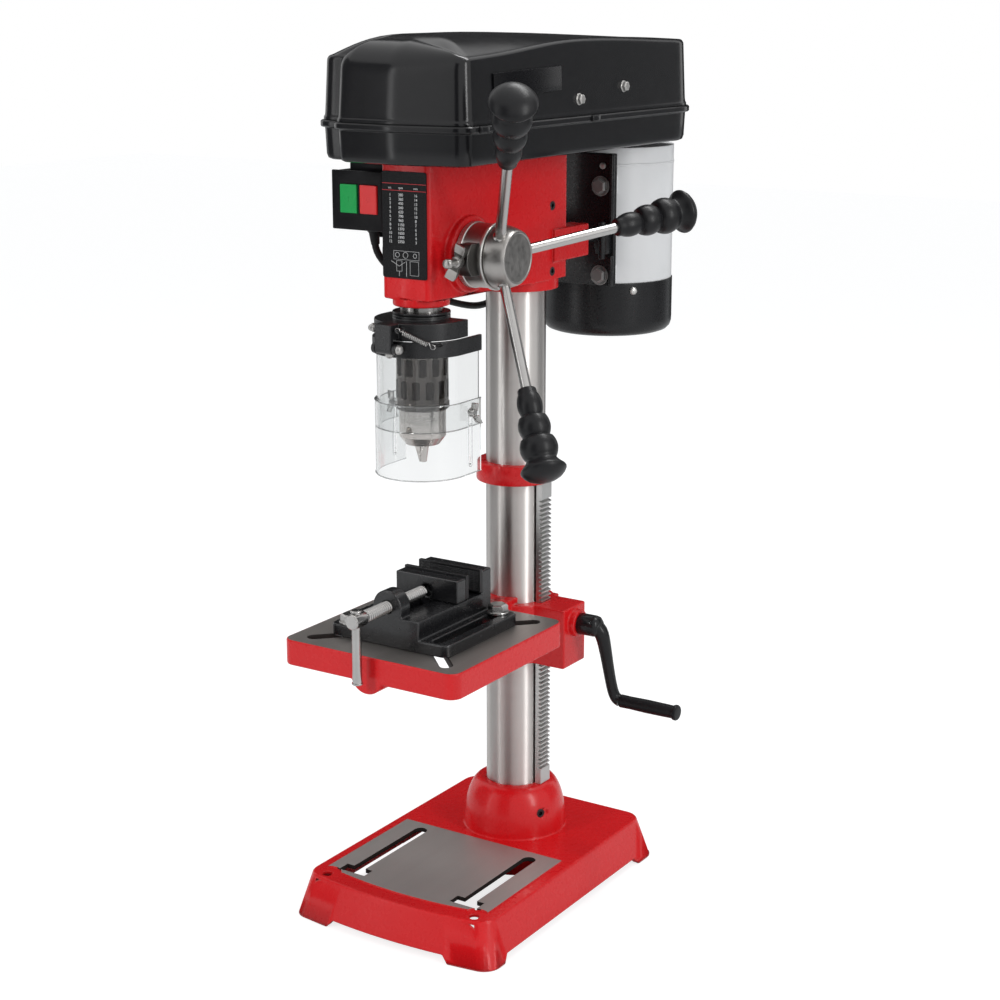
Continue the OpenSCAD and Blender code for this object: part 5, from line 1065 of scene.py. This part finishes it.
for k, (bolt, (x, z)) in enumerate(zip(bolts, spots)):
    put_at(bolt, (x, 0.1063, z), (0, -1, 0))
    settle(bolt, "motor", "chrome", motor_bolt_steel, *(["motor_bolts"] if k == 0 else []))
cap_screw = turned("fan_cover_screw", [(0.0040, 0), (0.0040, 0.0012), (0.0030, 0.0024), (0.0012, 0.0028)], 24)
aim = Vector((54.5, -42, 0)).normalized()
put_at(cap_screw, Vector((0, motor_y, 0.598)) + aim * 0.069, aim)
smooth(cap_screw)
settle(cap_screw, "motor", "chrome", bolt_metal)


# Belt drive
# Three stepped pulleys of turned light metal on the motor, the idler arm and the spindle, with two rubber
# V belts between them, all under the cover.
pulley_metal = finish("pulley_metal", (0.42, 0.42, 0.43), (0.54, 0.54, 0.55), (0.26, 0.42), metallic=1.0, scale=400,
                      stretch=(0.1, 0.1, 1), bump=0.06, edge=0.0006)
belt_rubber = finish("belt_rubber", (0.014, 0.014, 0.014), (0.03, 0.03, 0.03), (0.55, 0.75), scale=1600, bump=0.25,
                     edge=0.0005, shine=0.28)
for node in ("motor_pulley", "idler_pulley", "spindle_pulley"):
    dress(node, pulley_metal)
dress("motor_shaft", rack_steel)
dress("idler_arm", dark_steel)


def v_belt(name, node, front, back, front_smaller, back_smaller):
    low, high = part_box(node)
    r_front, r_back = high.x - front_smaller, high.x - back_smaller
    tilt = math.asin((r_back - r_front) / (back - front))
    arc = 32
    path = [(front, r_front, math.pi + tilt + (math.pi - 2 * tilt) * k / arc) for k in range(arc + 1)]
    path += [(back, r_back, -tilt + (math.pi + 2 * tilt) * k / arc) for k in range(arc + 1)]
    middle, half = (low.z + high.z) / 2, (high.z - low.z) / 2
    points = []
    for y, r, a in path:
        for drop, wide in [(0, 1), (0.0045, 0.66)]:
            for up in (1, -1):
                points.append(((r - drop) * math.cos(a), y + (r - drop) * math.sin(a), middle + up * wide * half))
    quads = []
    for i in range(len(path)):
        j = (i + 1) % len(path)
        for a, b in [(0, 1), (1, 3), (3, 2), (2, 0)]:
            quads.append((4 * i + a, 4 * i + b, 4 * j + b, 4 * j + a))
    belt = meshed(name, points, quads)
    all_over(belt, bpy.ops.mesh.normals_make_consistent, inside=False)
    smooth(belt, 40)
    belt.data.materials.append(belt_rubber)
    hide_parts(node)
    return belt


idler_y = 0.014
front_belt = v_belt("front_v_belt", "front_belt", spindle_y, idler_y, 0.003, 0)
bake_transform(front_belt)
rear_belt = v_belt("rear_v_belt", "rear_belt", idler_y, motor_y, 0, 0.030)
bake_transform(rear_belt)


# Belt cover
# Two moulded black plastic shells: a tray screwed to the head, and a lid hinged on its left edge, with a rounded
# nose in front and an edge that rises along the right side. Two bolts and a bare plate are on its right wall.
cover_plastic = finish("cover_plastic", (0.007, 0.007, 0.008), (0.011, 0.011, 0.012), (0.17, 0.21), scale=45,
                       bump=0.004, edge=0.0016, edge_highlight_tone=(0.03, 0.03, 0.03), shine=0.35)
corners = [(-86, 224, 46), (-86, -203, 15), (-57, -201, 7), (-52, -222, 16), (14, -227, 80), (86, -217, 13),
           (86, 224, 46)]
rim_line = []
for k, (x, y, r) in enumerate(corners):
    here = Vector((x, y))
    before, after = (Vector(corners[(k + d) % len(corners)][:2]) for d in (-1, 1))
    u, v = (before - here).normalized(), (after - here).normalized()
    half = u.angle(v) / 2
    start, stop = here + u * r / math.tan(half), here + v * r / math.tan(half)
    middle = here + (u + v).normalized() * r / math.sin(half)
    for s in range(10):
        arm = (start - middle).lerp(stop - middle, s / 9)
        rim_line.append(middle + arm.normalized() * r)
    if k in (0, 5):
        stations = [-150 + 35 * s for s in range(10)]
        rim_line += [Vector((x, along)) for along in (reversed(stations) if k == 0 else stations)]
rim_line += [Vector((30, 224)), Vector((0, 224)), Vector((-30, 224))]
rim_line = [p / 1000 for p in rim_line]
outward = []
for k, p in enumerate(rim_line):
    step = rim_line[(k + 1) % len(rim_line)] - rim_line[k - 1]
    outward.append(Vector((-step.y, step.x)).normalized())
if outward[12].x > 0:
    outward = [-n for n in outward]
spine_from, spine_to = -0.15, 0.165


def shell(name, rings):
    points, n = [], len(rim_line)
    for inset, grow, level in rings:
        for p, out in zip(rim_line, outward):
            spine = Vector((0, max(spine_from, min(spine_to, p.y))))
            share = inset(p, (p - spine).length) if callable(inset) else inset
            q = p.lerp(spine, share) + out * grow
            points.append((q.x, q.y, level(p, q)))
    quads = [(r * n + k, r * n + (k + 1) % n, (r + 1) * n + (k + 1) % n, (r + 1) * n + k)
             for r in range(len(rings) - 1) for k in range(n)]
    piece = meshed(name, points, quads)
    all_over(piece, bpy.ops.mesh.remove_doubles, threshold=0.00002)
    all_over(piece, bpy.ops.mesh.dissolve_degenerate, threshold=0.00002)
    all_over(piece, bpy.ops.mesh.normals_make_consistent, inside=False)
    return piece


def flat(z):
    return lambda p, q: z


tray = shell("cover_tray_shell", [
    (1, 0, flat(0.7510)), (0.06, 0, flat(0.7510)), (0.028, 0, flat(0.7522)), (0.012, 0, flat(0.7560)),
    (0.006, 0, flat(0.7680)), (0, 0, flat(0.7795)), (0, 0.0030, flat(0.7802)), (0, 0.0040, flat(0.7812)),
    (0, 0.0040, flat(0.7852)), (0, 0.0030, flat(0.7862)), (0, 0, flat(0.7863)), (0.035, 0, flat(0.7863)),
    (0.037, 0, flat(0.7855)), (0.04, 0, flat(0.7570)), (0.06, 0, flat(0.7540)), (1, 0, flat(0.7540))])
for y, wide, long in [(spindle_y, 0.026, 0.026), (0.182, 0.026, 0.042)]:
    hole = turned("tray_hole", [(0.5, 0.74), (0.5, 0.765)], 32)
    for v in hole.data.vertices:
        v.co.x, v.co.y = v.co.x * wide, y + v.co.y * long
    cut_out(tray, hole)
smooth(tray, 32)
settle(tray, "stand", "black_plastic", cover_plastic, "cover_tray")


def ease(t):
    t = max(0.0, min(1.0, t))
    return t * t * (3 - 2 * t)


def nose(p):
    return ease((p.x + 0.060) / 0.016) * ease((0.090 - p.x) / 0.034) * ease((-0.196 - p.y) / 0.014)


def wall_top(p):
    rise = ease((p.y + 0.214) / 0.2) if p.x > 0.03 else ease((p.y + 0.16) / 0.19)
    side = 0.8440 + 0.0132 * rise - 0.0047 * ease((p.y - 0.02) / 0.2)
    return side + (0.8585 - side) * nose(p)


def crest(q):
    stations = [(spine_from, 0.8630), (-0.08, 0.8634), (0.0, 0.8612), (0.09, 0.8575), (spine_to, 0.8545)]
    for (y0, z0), (y1, z1) in zip(stations, stations[1:]):
        if q.y <= y1:
            return z0 + (z1 - z0) * max(0, (q.y - y0) / (y1 - y0))
    return stations[-1][1]


def lid_ring(kind, share):
    lean, foot = 0.0030, 0.7866

    def inset(p, reach):
        wide = 0.0045 + 0.0295 * nose(p)
        if kind == "wall":
            return lean * share / reach
        if kind == "bend":
            return (lean + wide * (1 - math.cos(math.radians(share)))) / reach
        edge = (lean + wide) / reach
        return edge + (1 - edge) * share

    def level(p, q):
        tall = 0.0050 + 0.0260 * nose(p)
        top = wall_top(p)
        if kind == "wall":
            return foot + (top - tall - foot) * share
        if kind == "bend":
            return top - tall + tall * math.sin(math.radians(share))
        return top + (crest(q) - top) * math.sin(math.radians(90 * min(1, share * 1.4)))
    return inset, 0, level


rings = [(0, 0.0012, flat(0.7866)), (0, 0.0012, flat(0.7894)), (0, 0.0, flat(0.7902))]
for kind, shares in [("wall", (0.12, 0.5, 0.9, 1)), ("bend", (15, 35, 55, 75, 90)),
                     ("top", (0.06, 0.16, 0.3, 0.5, 0.75, 1))]:
    rings += [lid_ring(kind, share) for share in shares]
lid = shell("cover_lid_shell", rings)
modify(lid, "SUBSURF", levels=1, render_levels=1)
modify(lid, "SOLIDIFY", thickness=0.0028, offset=-1)
smooth(lid, 45)
settle(lid, "lid", "black_plastic", cover_plastic, "cover_lid")
lid_bolt = hex_bolt("lid_bolt_front", 0.0085, 0.0040, 0.0056, 0.0010)
rear_bolt = twin(lid_bolt, "lid_bolt_rear")
for bolt, at in [(lid_bolt, (0.0860, -0.0249, 0.8017)), (rear_bolt, (0.0856, 0.0607, 0.8104))]:
    put_at(bolt, at, (1, 0, 0.03))
    settle(bolt, "lid", "chrome", bolt_metal)
for k, y in enumerate((-0.196, -0.003)):
    latch = block("rim_latch_%d" % (k + 1), (0.0890, y - 0.007, 0.7805), (0.0925, y + 0.007, 0.7862))
    round_corners(latch, 0.0009, 2)
    settle(latch, "stand", "black_plastic", cover_plastic)
badge = block("bare_badge_plate", (0.0842, -0.173, 0.8080), (0.0866, -0.058, 0.8300))
for v in badge.data.vertices:
    v.co.z += 0.030 * (v.co.y + 0.173)
    v.co.x -= 0.035 * (v.co.z - 0.808)
round_corners(badge, 0.0007, 2)
settle(badge, "lid", "chart_black", chart_film)
knuckle = turned("hinge_knuckle_1", [(0.0024, -0.012), (0.0042, -0.0118), (0.0046, -0.0112), (0.0046, 0.0112),
                                     (0.0042, 0.0118), (0.0024, 0.012)], 24)
far_knuckle = twin(knuckle, "hinge_knuckle_2")
for piece, y in [(knuckle, -0.080), (far_knuckle, 0.090)]:
    put_at(piece, (-0.0945, y, 0.7862), (0, 1, 0))
    smooth(piece)
    settle(piece, "stand", "black_plastic", cover_plastic)


# Switch
# A black plastic box screwed to the head's left side, with a wider front plate, a green start button and a red
# stop button that press straight in.
switch_plastic = finish("switch_plastic", (0.005, 0.005, 0.006), (0.010, 0.010, 0.011), (0.28, 0.42), scale=700,
                        bump=0.15, edge=0.0009, edge_highlight_tone=(0.04, 0.04, 0.04), shine=0.12)
green_plastic = finish("green_button_plastic", (0.003, 0.30, 0.06), (0.006, 0.36, 0.078), (0.14, 0.22), scale=600,
                       bump=0.004, edge=0.0009, edge_highlight_tone=(0.03, 0.45, 0.12), shine=0.3)
red_plastic = finish("red_button_plastic", (0.62, 0.03, 0.032), (0.70, 0.04, 0.042), (0.14, 0.22), scale=600,
                     bump=0.004, edge=0.0009, edge_highlight_tone=(0.8, 0.1, 0.1), shine=0.3)
box = softened("switch_box", "switch_housing", 0.0010)
settle(box, "stand", "black_plastic", switch_plastic, "switch_box")
front_plate = round_corners(block("switch_front_plate", (-0.1106, -0.1522, 0.6812), (-0.0520, -0.1494, 0.7368)),
                            0.0010, 2)
window_margin = Vector((0.0006, 0, 0.0006))
for node in ("start_button", "stop_button"):
    low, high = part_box(node)
    low, high = low + window_margin, high - window_margin
    cut_out(front_plate, block("button_window", (low.x, -0.156, low.z), (high.x, -0.146, high.z)))
low_block = block("switch_low_block", (-0.0880, -0.1200, 0.6715), (-0.0540, -0.1065, 0.6830))
round_corners(low_block, 0.0015, 2)
top_block = block("switch_top_block", (-0.0985, -0.1400, 0.7350), (-0.0540, -0.1080, 0.7440))
round_corners(top_block, 0.0020, 2)
settle(joined("switch_back_blocks", [low_block, top_block]), "stand", "black_plastic", switch_plastic)
smooth(front_plate, 30)
settle(front_plate, "stand", "black_plastic", switch_plastic)
for node, name, slot_name, plastic, mark in [
        ("start_button", "start_button_cap", "button_green", green_plastic, "I"),
        ("stop_button", "stop_button_cap", "button_red", red_plastic, "O")]:
    cap, body = softened(node, name, 0.0011, segments=3), node.split("_")[0]
    settle(cap, body, slot_name, plastic, node)
    low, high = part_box(node)
    middle = (low + high) / 2
    sign = printed(name + "_mark", mark, 0.007, (middle.x, low.y - 0.00003, middle.z - 0.0024))
    settle(sign, body, slot_name, plastic)


# Finish
# The visual model's box is measured and set beside the CAD box.
low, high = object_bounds()
{"cad": [list(cad_low), list(cad_high)], "visual": [list(low), list(high)]}
